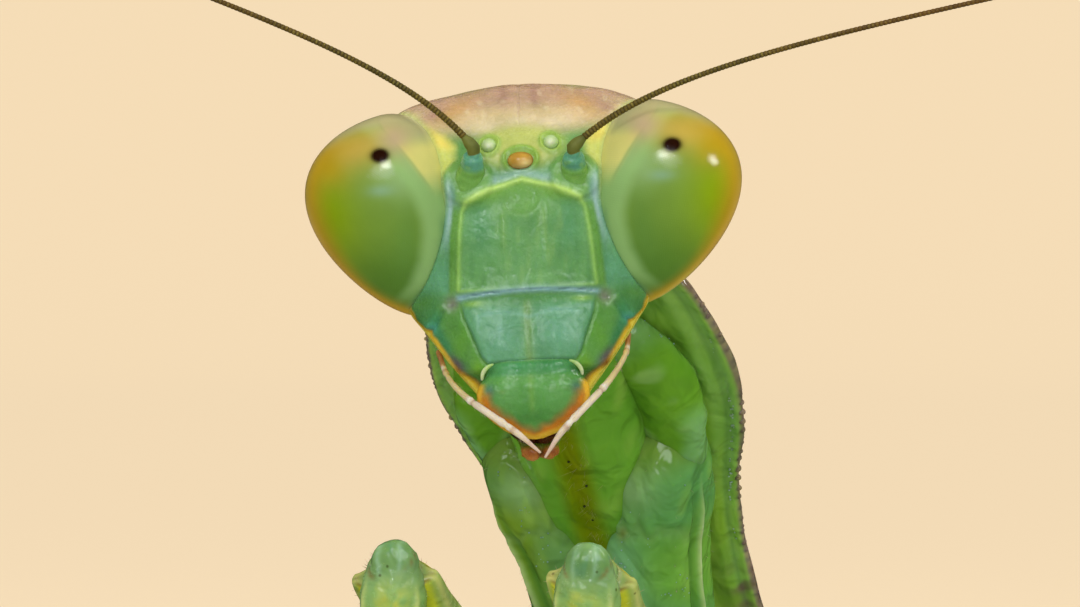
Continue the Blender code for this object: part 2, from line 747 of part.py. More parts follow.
def build_tegmen(side, sign, lift):
    """A thin curved sheet over the abdomen. One forewing lies over the other's inner edge."""
    rows, columns = 12, 6
    build = bmesh.new()
    grid = []
    keys = np.linspace(TEGMEN_STATIONS[0][0], TEGMEN_STATIONS[-1][0], rows)
    for along_y, inner, outer in resample(TEGMEN_STATIONS, keys):
        row = []
        for across in np.linspace(inner, outer, columns):
            raised = lift * max(0.0, min(1.0, (5.4 - across) / 2.6))
            height = tegmen_height(across, along_y, raised)
            row.append(build.verts.new(Vector((sign * across, along_y, height)) * MM))
        grid.append(row)
    for near, far in zip(grid, grid[1:]):
        for i in range(columns - 1):
            build.faces.new((near[i], near[i + 1], far[i + 1], far[i]))
    bmesh.ops.recalc_face_normals(build, faces=build.faces)
    if sum(face.normal.z for face in build.faces) < 0:
        bmesh.ops.reverse_faces(build, faces=build.faces)
    mesh = bpy.data.meshes.new("tegmen")
    build.to_mesh(mesh)
    build.free()
    tegmen = new_object(f"forewing_{side}", mesh, "wing")
    shell = tegmen.modifiers.new("thickness", "SOLIDIFY")
    shell.thickness = TEGMEN_THICKNESS * MM
    shell.offset = -1.0
    settle(tegmen)
    return tegmen


def build_wings(pterothorax, sections):
    right = build_tegmen("right", -1.0, 0.0)
    left = build_tegmen("left", 1.0, TEGMEN_OVERLAP_LIFT)
    for body in (pterothorax, *sections):
        trim(body, right, left)


# ---------------------------------------------------------------- walking legs


def flat_footed(points, radii):
    """A foot's loft whose underside is flat where it meets the floor."""
    rings = []
    points = [Vector(p) for p in points]
    for i, (point, radius) in enumerate(zip(points, radii)):
        ahead = points[min(i + 1, len(points) - 1)] - points[max(i - 1, 0)]
        across = Vector((ahead.y, -ahead.x, 0.0)).normalized()
        up = across.cross(ahead).normalized()
        ring = [point + across * u + up * v for u, v in oval(radius, radius, radius, 2.0, 6)]
        rings.append([Vector((p.x, p.y, max(p.z, FLOOR))) for p in ring])
    return loft(rings)


def build_walking_leg(name, side, sign, pterothorax):
    hip, knuckle, knee, ankle, toe = (mirrored(p, sign) for p in WALKING_LEGS[name])
    coxa = new_object(
        f"{name}_coxa_{side}",
        tube(along(hip, knuckle, WALKING_COXA_RADII), WALKING_COXA_RADII, 1),
        "cuticle",
    )
    trim(coxa, pterothorax)
    femur = new_object(
        f"{name}_femur_{side}",
        tube(along(knuckle, knee, WALKING_FEMUR_RADII), WALKING_FEMUR_RADII, 1),
        "cuticle",
    )
    trim(femur, coxa)
    tibia = new_object(
        f"{name}_tibia_{side}",
        tube(along(knee, ankle, WALKING_TIBIA_RADII), WALKING_TIBIA_RADII, 1),
        "cuticle",
    )
    trim(tibia, femur)
    sole = Vector((ankle.x, ankle.y, FLOOR + 0.26)).lerp(toe, 0.12)
    lifted = ankle + Vector((0.0, 0.0, 0.1))
    points = [lifted, sole, *along(sole, toe, TARSUS_RADII)[1:]]
    tarsus = new_object(
        f"{name}_tarsus_{side}", flat_footed(points, (0.30, *TARSUS_RADII)), "cuticle"
    )
    trim(tarsus, tibia)


# ---------------------------------------------------------------- the whole animal


def stand_on_floor():
    """Moves the animal so that its box stands on Z = 0 with its middle over the origin."""
    bpy.context.view_layer.update()
    graph = bpy.context.evaluated_depsgraph_get()
    low, high = np.full(3, np.inf), np.full(3, -np.inf)
    for obj in MANTIS.objects:
        if obj.type != "MESH":
            continue
        shown = obj.evaluated_get(graph)
        mesh = shown.to_mesh()
        points = np.array([shown.matrix_world @ v.co for v in mesh.vertices])
        low, high = np.minimum(low, points.min(0)), np.maximum(high, points.max(0))
        shown.to_mesh_clear()
    shift = Vector((-(low[0] + high[0]) / 2, -(low[1] + high[1]) / 2, -low[2]))
    for obj in [*MANTIS.objects, *CUTTERS.objects]:
        if obj.parent is None:
            obj.location += shift


clear_scene()
MANTIS = new_collection("praying_mantis")
CUTTERS = new_collection("cutters")
MATERIALS = {name: new_material(name, *look) for name, look in COLOURS.items()}

head_frame, head_capsule, _ = build_head()
neck_shield, breast = build_prothorax(head_frame, head_capsule)
for side_name, side_sign in SIDES:
    build_foreleg(side_name, side_sign, breast, neck_shield)
wing_bearer, abdomen = build_rear(breast, neck_shield)
build_wings(wing_bearer, abdomen)
for leg_name in WALKING_LEGS:
    for side_name, side_sign in SIDES:
        build_walking_leg(leg_name, side_name, side_sign, wing_bearer)
stand_on_floor()
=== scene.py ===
"""Looks of a life-size still model of a green praying mantis. Sizes are in millimetres from the middle of
the front margin of the pronotum, in the same frames as the solids, and turn into metres in add_piece().
"""

import json
import math

import bmesh
import bpy
import numpy as np
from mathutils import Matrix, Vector

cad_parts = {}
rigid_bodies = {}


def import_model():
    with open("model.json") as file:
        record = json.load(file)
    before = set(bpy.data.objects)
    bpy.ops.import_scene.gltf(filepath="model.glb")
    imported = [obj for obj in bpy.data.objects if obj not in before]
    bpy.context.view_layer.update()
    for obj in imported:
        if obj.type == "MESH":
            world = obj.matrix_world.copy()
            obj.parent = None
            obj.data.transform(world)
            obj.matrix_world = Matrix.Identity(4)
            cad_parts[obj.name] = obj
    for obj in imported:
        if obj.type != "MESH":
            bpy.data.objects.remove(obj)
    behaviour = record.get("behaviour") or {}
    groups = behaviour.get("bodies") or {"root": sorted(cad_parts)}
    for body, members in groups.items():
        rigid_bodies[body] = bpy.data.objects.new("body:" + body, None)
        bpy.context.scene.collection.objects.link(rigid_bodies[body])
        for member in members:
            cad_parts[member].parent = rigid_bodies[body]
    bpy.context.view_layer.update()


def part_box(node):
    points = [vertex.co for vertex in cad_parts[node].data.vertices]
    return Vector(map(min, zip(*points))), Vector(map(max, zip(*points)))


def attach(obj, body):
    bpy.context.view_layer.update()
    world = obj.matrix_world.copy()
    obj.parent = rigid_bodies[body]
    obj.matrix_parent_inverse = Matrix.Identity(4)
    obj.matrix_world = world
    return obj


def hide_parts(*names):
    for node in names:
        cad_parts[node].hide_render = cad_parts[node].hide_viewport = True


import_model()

MM = 0.001
SIDES = (("left", 1.0), ("right", -1.0))
RANDOM = np.random.default_rng(11)

# ---------------------------------------------------------------- numbers shared with the solids

HEAD_CENTRE = np.array((0.6, -2.9, 0.1))
HEAD_YAW, HEAD_ROLL, PROTHORAX_SLOPE = 18.0, -3.2, 48.0
HEAD_STATIONS = (
    (-4.44, 0.22, -1.14, -0.60, 2.0),
    (-4.34, 0.42, -1.24, -0.45, 2.0),
    (-4.10, 0.66, -1.34, -0.25, 2.1),
    (-3.80, 0.90, -1.42, -0.05, 2.2),
    (-3.45, 1.15, -1.48, 0.20, 2.4),
    (-3.00, 1.49, -1.54, 0.42, 2.5),
    (-2.50, 1.87, -1.56, 0.66, 2.5),
    (-2.00, 2.23, -1.56, 1.08, 2.4),
    (-1.60, 2.50, -1.58, 1.46, 2.2),
    (-1.00, 2.58, -1.64, 1.75, 2.2),
    (-0.30, 2.65, -1.65, 1.87, 2.4),
    (0.40, 2.72, -1.62, 1.93, 2.6),
    (1.05, 2.82, -1.50, 1.95, 2.7),
    (1.55, 2.88, -1.28, 1.95, 2.8),
    (2.02, 2.88, -0.94, 1.92, 2.8),
    (2.42, 2.74, -0.50, 1.82, 2.6),
    (2.72, 2.20, -0.04, 1.62, 2.3),
    (2.92, 1.52, 0.32, 1.40, 2.1),
    (3.03, 0.88, 0.58, 1.16, 2.0),
    (3.08, 0.34, 0.78, 0.98, 2.0),
)
LABRUM_STATIONS = (
    (-4.33, 0.16, -1.56, -1.36, 2.1),
    (-4.22, 0.47, -1.70, -1.24, 2.2),
    (-4.00, 0.80, -1.84, -1.16, 2.3),
    (-3.75, 1.05, -1.94, -1.12, 2.4),
    (-3.48, 1.17, -1.98, -1.10, 2.5),
    (-3.20, 1.12, -1.97, -1.10, 2.5),
    (-3.04, 1.00, -1.93, -1.10, 2.5),
    (-2.90, 0.93, -1.905, -1.10, 2.5),
    (-2.78, 0.90, -1.885, -1.10, 2.5),
    (-2.68, 0.86, -1.81, -1.12, 2.5),
)
LABIUM_STATIONS = (
    (-4.78, 0.14, -1.00, -0.72, 2.0),
    (-4.73, 0.25, -1.08, -0.62, 2.0),
    (-4.63, 0.35, -1.12, -0.50, 2.1),
    (-4.48, 0.40, -1.04, -0.36, 2.1),
    (-4.10, 0.62, -0.12, 0.40, 2.2),
    (-3.40, 0.85, 0.35, 0.90, 2.3),
    (-2.70, 0.95, 0.70, 1.22, 2.3),
    (-2.14, 0.80, 0.80, 1.25, 2.3),
)
EYE_CENTRE = np.array((2.45, 0.15, 0.45))
EYE_HALF_LENGTH, EYE_HALF_DEPTH, EYE_BLUNTNESS, EYE_LEAN = 2.17, 1.92, 0.30, 12.4
EYE_HALF_WIDTH_OUT, EYE_HALF_WIDTH_IN = 1.93, 1.42
OCELLI = (
    ("ocellus_middle", (0.0, -1.32, 1.43), (0.29, 0.30, 0.19)),
    ("ocellus_left", (0.64, -1.10, 1.765), (0.17, 0.30, 0.17)),
    ("ocellus_right", (-0.64, -1.10, 1.765), (0.17, 0.30, 0.17)),
)
SCAPE_BASE = np.array((1.09, -1.25, 0.98))
SCAPE_TIPS = {"left": np.array((1.11, -1.76, 1.50)), "right": np.array((-0.95, -1.76, 1.60))}
FEELER_LENGTH, FEELER_SWEEP_BACK = 25.0, 0.010
FEELER_BENDS = {"left": (48.9, 80.8, 2.16), "right": (34.8, 66.4, 1.96)}
PALP_ROUTES = {
    "left": (
        (2.02, 0.10, -2.30),
        (1.94, -0.75, -2.70),
        (1.52, -1.62, -3.28),
        (1.04, -2.20, -3.74),
        (0.54, -2.32, -4.22),
        (0.19, -2.22, -4.70),
    ),
    "right": (
        (-1.96, 0.10, -2.45),
        (-1.76, -0.75, -2.98),
        (-1.34, -1.62, -3.44),
        (-0.86, -2.20, -3.80),
        (-0.34, -2.32, -4.20),
        (0.08, -2.20, -4.60),
    ),
}
PRONOTUM_STATIONS = (
    (0.00, 0.90, 0.25, 0.20),
    (0.50, 2.10, 0.62, 0.26),
    (1.30, 2.85, 0.90, 0.30),
    (2.40, 3.25, 1.10, 0.32),
    (3.50, 3.45, 1.25, 0.34),
    (4.60, 3.47, 1.35, 0.34),
    (5.60, 3.30, 1.35, 0.34),
    (6.80, 2.96, 1.32, 0.34),
    (8.00, 2.74, 1.30, 0.34),
    (9.50, 2.60, 1.28, 0.34),
    (12.0, 2.60, 1.25, 0.34),
    (16.0, 2.62, 1.22, 0.34),
    (19.5, 2.76, 1.15, 0.34),
    (20.8, 2.50, 0.90, 0.30),
    (21.3, 1.60, 0.55, 0.24),
)
PROSTERNUM_STATIONS = (
    (0.70, 0.90, -0.2, -1.35),
    (1.50, 1.30, 0.1, -1.75),
    (3.20, 1.50, 0.3, -2.05),
    (5.50, 1.50, 0.3, -2.15),
    (8.50, 1.38, 0.3, -2.10),
    (12.5, 1.34, 0.3, -2.05),
    (17.0, 1.52, 0.3, -2.15),
    (20.6, 1.95, 0.1, -2.25),
)
PTEROTHORAX_STATIONS = (
    (13.9, 1.20, -15.6, -17.4),
    (14.6, 2.05, -14.9, -18.3),
    (16.2, 3.00, -14.4, -19.6),
    (19.0, 3.75, -14.1, -20.8),
    (22.0, 4.00, -14.0, -21.0),
    (25.0, 3.95, -14.1, -20.6),
    (26.4, 3.70, -14.3, -20.0),
)
ABDOMEN_STATIONS = (
    (26.0, 3.60, -14.4, -19.9),
    (30.0, 4.35, -14.5, -20.6),
    (35.0, 5.00, -14.7, -21.2),
    (40.0, 5.25, -14.9, -21.4),
    (45.0, 5.00, -15.2, -21.0),
    (50.0, 4.10, -15.6, -20.2),
    (53.5, 2.90, -16.1, -19.4),
    (56.0, 1.50, -16.8, -18.5),
)
TEGMEN_STATIONS = (
    (16.6, -0.60, 2.60),
    (18.5, -1.20, 4.40),
    (22.0, -1.70, 5.40),
    (30.0, -2.20, 6.10),
    (40.0, -2.40, 6.20),
    (48.0, -2.30, 5.60),
    (54.0, -1.70, 4.20),
    (57.0, -0.80, 2.70),
    (58.4, 0.20, 1.30),
)
TEGMEN_HEIGHT, TEGMEN_ARCH, TEGMEN_FALL, TEGMEN_OVERLAP_LIFT = -13.35, 0.052, 0.030, 0.72
FORE_HIP, FORE_ELBOW = np.array((1.15, 3.00, -4.00)), np.array((0.92, 10.2, -18.0))
FORE_KNEE, FORE_SHIN_END = np.array((2.23, -3.90, -6.66)), np.array((2.20, 3.20, -15.00))
FORE_CLAW_TIP, FORE_TOE = np.array((1.90, 5.90, -16.60)), np.array((3.80, 0.00, -20.60))
COXA_BACK, FEMUR_BACK = np.array((0.34, 0.94, 0.50)), np.array((0.0, 1.0, 0.55))
FORE_COXA_STATIONS = (
    (0.00, 0.34, 0.60, 0.50, 0.50),
    (0.50, 0.30, 0.98, 1.00, 1.00),
    (1.60, 0.14, 1.16, 1.20, 1.20),
    (3.00, -0.06, 1.06, 1.20, 1.20),
    (4.60, -0.12, 0.98, 1.15, 1.15),
    (8.50, -0.08, 0.86, 1.10, 1.10),
    (12.5, 0.00, 0.78, 1.00, 1.00),
    (14.9, 0.00, 0.74, 0.85, 0.85),
    (15.7, 0.00, 0.45, 0.50, 0.50),
)
FORE_FEMUR_STATIONS = (
    (0.00, 0.00, 0.45, 0.50, 0.55),
    (0.70, 0.00, 0.72, 0.90, 0.82),
    (2.00, 0.00, 0.86, 1.30, 0.95),
    (4.20, 0.00, 1.02, 1.95, 1.10),
    (7.00, 0.00, 1.10, 2.10, 1.15),
    (10.5, 0.00, 1.08, 1.60, 1.08),
    (14.0, 0.00, 1.00, 0.95, 0.92),
    (16.4, 0.00, 0.96, 0.70, 0.78),
    (17.2, 0.00, 0.99, 0.64, 0.68),
    (17.34, 0.00, 0.98, 0.62, 0.66),
    (17.42, 0.00, 0.66, 0.58, 0.56),
    (17.58, 0.00, 0.58, 0.52, 0.48),
    (17.78, 0.00, 0.46, 0.43, 0.38),
    (17.96, 0.00, 0.32, 0.31, 0.26),
    (18.08, 0.00, 0.18, 0.18, 0.14),
    (18.12, 0.00, 0.06, 0.07, 0.05),
)
FEMUR_SPINE_LENGTHS = (1.5, 1.0, 1.6, 1.0, 1.3)
FLOOR, TOE_HEIGHT, SOLE_HEIGHT = -30.5, 0.24, 0.26
WALKING_LEGS = {
    "mid": (
        (2.30, 18.0, -19.6),
        (4.40, 16.8, -21.6),
        (14.8, 8.20, -16.4),
        (18.4, 4.20, -29.4),
        (21.6, -2.40, FLOOR + TOE_HEIGHT),
    ),
    "hind": (
        (2.40, 23.4, -19.6),
        (4.60, 24.4, -21.6),
        (16.0, 38.4, -12.8),
        (20.6, 49.6, -29.4),
        (24.0, 58.0, FLOOR + TOE_HEIGHT),
    ),
}
CERCUS_ROOT, CERCUS_TIP = np.array((1.05, 54.9, -17.2)), np.array((2.90, 60.6, -16.4))


# ---------------------------------------------------------------- helpers

RING_STEPS = 1441
CAD_SECTION_POINTS = 16
PRONOTUM_POWER, BODY_POWER, ABDOMEN_POWER, COXA_POWER = 1.75, 2.3, 2.2, 3.0


def resample(stations, keys):
    """Rows of the table at the given values of its first column, on a smooth curve."""
    table = np.array(stations, float)
    at = table[:, 0]
    slope = np.gradient(table, at, axis=0)
    i = np.clip(np.searchsorted(at, keys, side="right") - 1, 0, len(at) - 2)
    step = (at[i + 1] - at[i])[:, None]
    t = (np.asarray(keys) - at[i])[:, None] / step
    return (
        (2 * t**3 - 3 * t**2 + 1) * table[i]
        + (t**3 - 2 * t**2 + t) * step * slope[i]
        + (3 * t**2 - 2 * t**3) * table[i + 1]
        + (t**3 - t**2) * step * slope[i + 1]
    )


def gone_along(points):
    """How far along a line of points each of them lies."""
    return np.concatenate([[0], np.cumsum(np.linalg.norm(np.diff(points, axis=0), axis=1))])


def smooth_route(points, count):
    """Evenly spread points on a smooth curve through a route."""
    route = np.array(points, float)
    keys = gone_along(route)
    table = np.column_stack([keys, route])
    return resample(table, np.linspace(0, keys[-1], count))[:, 1:]


def turn_about(axis, degrees):
    c, s = math.cos(math.radians(degrees)), math.sin(math.radians(degrees))
    i, j = {"x": (1, 2), "y": (2, 0), "z": (0, 1)}[axis]
    matrix = np.eye(3)
    matrix[i, i] = matrix[j, j] = c
    matrix[i, j], matrix[j, i] = -s, s
    return matrix


HEAD_TURN = turn_about("z", HEAD_YAW) @ turn_about("y", HEAD_ROLL)
PROTHORAX_TURN = turn_about("x", -PROTHORAX_SLOPE)


def from_head(points):
    return np.asarray(points) @ HEAD_TURN.T + HEAD_CENTRE


def from_prothorax(points):
    return np.asarray(points) @ PROTHORAX_TURN.T


def mirrored(point, sign):
    return np.asarray(point) * np.array((sign, 1.0, 1.0))


def ease(low, high, value):
    """0 below low, 1 above high, and smooth between. low may be the larger."""
    t = np.clip((np.asarray(value, float) - low) / (high - low), 0, 1)
    return t * t * (3 - 2 * t)


def hump(value, width):
    return np.exp(-((np.asarray(value) / width) ** 2))


def spot(x, z, centre, radii, turn=0.0):
    """A soft oval mask: 1 in its middle, about a third at its edge."""
    c, s = math.cos(math.radians(turn)), math.sin(math.radians(turn))
    dx, dz = x - centre[0], z - centre[1]
    return np.exp(-(((dx * c + dz * s) / radii[0]) ** 2) - ((dz * c - dx * s) / radii[1]) ** 2)


def srgb(r, g, b):
    value = np.array((r, g, b), float) / 255
    return np.where(value <= 0.04045, value / 12.92, ((value + 0.055) / 1.055) ** 2.4)


def blank(shape, rgb):
    return np.broadcast_to(srgb(*rgb), (*shape, 3)).copy()


def over(paint, rgb, mask):
    """Lays a colour over the paint where the mask says."""
    mask = np.clip(mask, 0, 1)[..., None]
    return paint * (1 - mask) + srgb(*rgb) * mask


def layered(paint, *layers):
    """Lays colours over the paint in turn. Each layer: red, green, blue and its mask."""
    for red, green, blue, mask in layers:
        paint = over(paint, (red, green, blue), mask)
    return paint


def to_path(x, z, path):
    """Distance to a line of points, and how far along it the nearest place is, from 0 to 1."""
    path = np.array(path, float)
    lengths = np.linalg.norm(np.diff(path, axis=0), axis=1)
    before = np.concatenate([[0], np.cumsum(lengths)])
    best = np.full(np.shape(x), 1e9)
    reach = np.zeros(np.shape(x))
    for i, (a, b) in enumerate(zip(path, path[1:])):
        d = b - a
        t = np.clip(((x - a[0]) * d[0] + (z - a[1]) * d[1]) / (d @ d), 0, 1)
        gap = np.hypot(x - a[0] - t * d[0], z - a[1] - t * d[1])
        nearer = gap < best
        best = np.where(nearer, gap, best)
        reach = np.where(nearer, (before[i] + t * lengths[i]) / before[-1], reach)
    return best, reach


def inside_of(x, z, outline):
    """Signed distance to a closed outline, positive inside it."""
    path = [*outline, outline[0]]
    gap, _ = to_path(x, z, path)
    within = np.zeros(np.shape(x), bool)
    for (ax, az), (bx, bz) in zip(path, path[1:]):
        if az != bz:
            crosses = ((az > z) != (bz > z)) & (x < (bx - ax) * (z - az) / (bz - az) + ax)
            within ^= crosses
    return np.where(within, gap, -gap)


def both_sides(half):
    """A closed outline from its right half, listed from top to bottom. Points on the middle line aren't
    doubled."""
    return [*half, *[(-x, z) for x, z in reversed(half) if x]]


def ripple(points, size, seed, count=9):
    """A gentle smooth undulation in space, from -1 to 1, with waves about the given size."""
    source = np.random.default_rng(seed)
    total = np.zeros(points.shape[:-1])
    for _ in range(count):
        direction = source.normal(size=3)
        direction *= source.uniform(0.7, 1.5) * 2 * math.pi / size / np.linalg.norm(direction)
        total += np.sin(points @ direction + source.uniform(0, 2 * math.pi))
    return total / math.sqrt(count * 2)


def superellipse(angle, half_width, beyond, before, power):
    """Points across and along, or across and up, at the given angles of a superellipse."""
    cos, sin = np.cos(angle), np.sin(angle)
    x = half_width * np.sign(cos) * np.abs(cos) ** (2 / power)
    y = np.sign(sin) * np.abs(sin) ** (2 / power) * np.where(sin > 0, beyond, before)
    return x, y


def clouds(points, size, seed):
    """Soft patches in space, about from 0 to 1."""
    return 0.5 + 0.5 * ripple(points, size, seed)


def ring(width, depth_front, depth_back, power, shares):
    """A superellipse at the given shares of its length, from its back round by -X to its front."""
    angle = np.linspace(math.pi / 2, math.pi * 5 / 2, RING_STEPS)
    x, y = superellipse(angle, width, depth_back, depth_front, power)
    gone = np.concatenate([[0], np.cumsum(np.hypot(np.diff(x), np.diff(y)))])
    return np.interp(shares * gone[-1], gone, x), np.interp(shares * gone[-1], gone, y)


def shares_of_ring(count, crowding=0.0):
    """Even shares of a ring, crowded towards its middle, which is its front."""
    t = np.arange(count) / count
    return t + crowding / (2 * math.pi) * np.sin(2 * math.pi * t)


def even_keys(stations, count, columns=(0, 1)):
    """Keys that step evenly along the outline that two columns of a table draw."""
    fine = np.linspace(stations[0][0], stations[-1][0], 800)
    gone = gone_along(resample(stations, fine)[:, columns])
    return np.interp(np.linspace(0, gone[-1], count), gone, fine)


def upright_rings(stations, rows, columns, crowding=0.0):
    """A grid of points over level sections: height, half width, front, back, squareness."""
    shares = shares_of_ring(columns, crowding)
    grid = np.zeros((rows, columns, 3))
    table = resample(stations, even_keys(stations, rows))
    for i, (height, width, front, back, power) in enumerate(table):
        x, y = ring(width, (back - front) / 2, (back - front) / 2, power, shares)
        grid[i] = np.stack([x, (front + back) / 2 + y, np.full(columns, height)], axis=1)
    return grid


def grid_normals(grid):
    """Outward unit normals of a grid of points whose rows are closed rings."""
    across = np.roll(grid, -1, axis=1) - np.roll(grid, 1, axis=1)
    normal = np.cross(across, np.gradient(grid, axis=0))
    normal /= np.maximum(np.linalg.norm(normal, axis=-1, keepdims=True), 1e-12)
    outwards = grid - grid.mean(axis=1, keepdims=True)
    return -normal if (normal * outwards).sum() < 0 else normal


def raised(grid, lift):
    """The grid with each point moved outwards by its lift."""
    return grid + grid_normals(grid) * lift[..., None]


def lengthwise(rows, columns, first=0.0, last=1.0):
    """Even steps from row to row, the same all the way round."""
    return np.linspace(first, last, rows)[:, None] * np.ones((1, columns))


def axes_of(grid):
    return np.moveaxis(grid, -1, 0)


class Piece:
    """Gathers tubes and bristles with their paint into one object."""

    def __init__(self):
        self.points, self.faces, self.paint, self.count = [], [], [], 0

    def add(self, points, faces, paint):
        points = np.asarray(points, float).reshape(-1, 3)
        paint = np.broadcast_to(paint, (len(points), 3)) if np.ndim(paint) == 1 else paint.reshape(-1, 3)
        a, b, c = (points[[f[i] for f in faces]] for i in range(3))
        middle = points.mean(axis=0)
        if np.einsum("ij,ij->i", a - middle, np.cross(b - middle, c - middle)).sum() < 0:
            faces = [f[::-1] for f in faces]
        self.faces += [tuple(int(i) + self.count for i in f) for f in faces]
        self.points.append(points)
        self.paint.append(paint)
        self.count += len(points)

    def grid(self, grid, paint):
        """A closed tube of rings, with a fan to the middle of each end ring."""
        rows, columns = grid.shape[:2]
        i = np.arange(rows - 1)[:, None] * columns
        j = np.arange(columns)[None, :]
        near, after = i + j, i + (j + 1) % columns
        quads = np.stack([near, after, after + columns, near + columns], axis=-1).reshape(-1, 4)
        faces = quads.tolist()
        paint = np.broadcast_to(paint, grid.shape) if np.ndim(paint) == 1 else paint
        hubs = [grid[0].mean(axis=0), grid[-1].mean(axis=0)]
        hub_paint = [paint[0].mean(axis=0), paint[-1].mean(axis=0)]
        points = np.concatenate([grid.reshape(-1, 3), hubs])
        flat = np.concatenate([paint.reshape(-1, 3), hub_paint])
        first_hub, last_row = rows * columns, (rows - 1) * columns
        for m in range(columns):
            faces.append((first_hub, (m + 1) % columns, m))
        for m in range(columns):
            faces.append((last_row + m, last_row + (m + 1) % columns, first_hub + 1))
        self.add(points, faces, flat)

    def hair(self, root, tip, radius, paint, sides=3):
        """A thin straight bristle that tapers to a fine tip."""
        line = np.array([root, (root + tip) / 2, tip])
        self.grid(tube_rings(line, (radius, radius * 0.7, radius * 0.12), sides), paint)

    def build(self, name, material, *replaced):
        points, paint = np.concatenate(self.points), np.concatenate(self.paint)
        return add_piece(name, points, self.faces, paint, material, replaced)


def tube_rings(points, radii, sides, up=None, squash=1.0):
    """Rings round a line of points. squash is the ratio of the rings' height to their width."""
    points = np.asarray(points, float)
    ahead = np.gradient(points, axis=0)
    ahead /= np.linalg.norm(ahead, axis=1, keepdims=True)
    reference = np.array((0.0, 0.0, 1.0)) if up is None else np.asarray(up, float)
    if up is None and abs(ahead[0] @ reference) > 0.9:
        reference = np.array((1.0, 0.0, 0.0))
    angle = np.linspace(0, 2 * math.pi, sides, endpoint=False)
    rings = np.zeros((len(points), sides, 3))
    across = np.cross(ahead[0], reference)
    for i, (point, forward) in enumerate(zip(points, ahead)):
        if up is not None:
            across = np.cross(forward, reference)
        across = across - forward * (across @ forward)
        across /= np.linalg.norm(across)
        rise = np.cross(across, forward)
        radius = radii[i]
        rings[i] = point + radius * (np.cos(angle)[:, None] * across + squash * np.sin(angle)[:, None] * rise)
    return rings


def rounded(points, radii, steps=6):
    """Adds a rounded end to each end of a tube's line."""
    points, radii = np.asarray(points, float), np.asarray(radii, float)
    angle = np.linspace(0, math.pi / 2, steps + 1)[1:]
    first = (points[0] - points[1]) / np.linalg.norm(points[0] - points[1])
    last = (points[-1] - points[-2]) / np.linalg.norm(points[-1] - points[-2])
    head = points[0] + first * (radii[0] * np.sin(angle))[::-1, None]
    tail = points[-1] + last * (radii[-1] * np.sin(angle))[:, None]
    shrink = np.maximum(np.cos(angle), 0.06)
    line = np.concatenate([head, points, tail])
    return line, np.concatenate([radii[0] * shrink[::-1], radii, radii[-1] * shrink])


def cad_shift():
    """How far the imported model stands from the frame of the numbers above: the solids' pronotum has
    sections of CAD_SECTION_POINTS points, and its box is compared with the same points here."""
    angle = np.linspace(0, 2 * math.pi, CAD_SECTION_POINTS, endpoint=False)
    points = []
    for at, width, rise, fall in PRONOTUM_STATIONS:
        x, z = superellipse(angle, width, rise, fall, PRONOTUM_POWER)
        points.append(np.stack([x, np.full(CAD_SECTION_POINTS, at), z], axis=1))
    low = from_prothorax(np.concatenate(points)).min(axis=0)
    return np.array(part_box("pronotum")[0]) / MM - low


SHIFT = cad_shift()


def add_piece(name, points, faces, paint, material, replaced):
    places = (points + SHIFT) * MM
    places[:, 2] = np.maximum(places[:, 2], 0.0)
    mesh = bpy.data.meshes.new(name)
    mesh.from_pydata(places.tolist(), [], faces)
    mesh.shade_smooth()
    colours = mesh.color_attributes.new("paint", "FLOAT_COLOR", "POINT")
    rgba = np.concatenate([np.clip(paint, 0, 1), np.ones((len(points), 1))], axis=1)
    colours.data.foreach_set("color", rgba.astype(np.float32).ravel())
    mesh.materials.append(material)
    piece = bpy.data.objects.new(name, mesh)
    bpy.context.scene.collection.objects.link(piece)
    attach(piece, "root")
    if replaced:
        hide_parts(*replaced)
    return piece


# ---------------------------------------------------------------- materials


def node(tree, kind, inputs=None, **settings):
    made = tree.nodes.new(kind)
    for key, value in settings.items():
        setattr(made, key, value)
    for key, value in (inputs or {}).items():
        if isinstance(value, bpy.types.NodeSocket):
            tree.links.new(value, made.inputs[key])
        else:
            made.inputs[key].default_value = value
    return made


def ramp(tree, source, *stops):
    made = tree.nodes.new("ShaderNodeValToRGB")
    tree.links.new(source, made.inputs["Fac"])
    band = made.color_ramp
    while len(band.elements) < len(stops):
        band.elements.new(0.5)
    for element, (place, value) in zip(band.elements, stops):
        element.position = place
        element.color = (*value, 1.0) if np.ndim(value) else (value, value, value, 1.0)
    return made.outputs["Color"]


def multiplied(tree, first, second):
    """One colour times another: a mix of colours takes them at inputs 6 and 7, and gives output 2."""
    mix = node(tree, "ShaderNodeMix", {0: 1.0, 6: first, 7: second}, data_type="RGBA", blend_type="MULTIPLY")
    return mix.outputs[2]


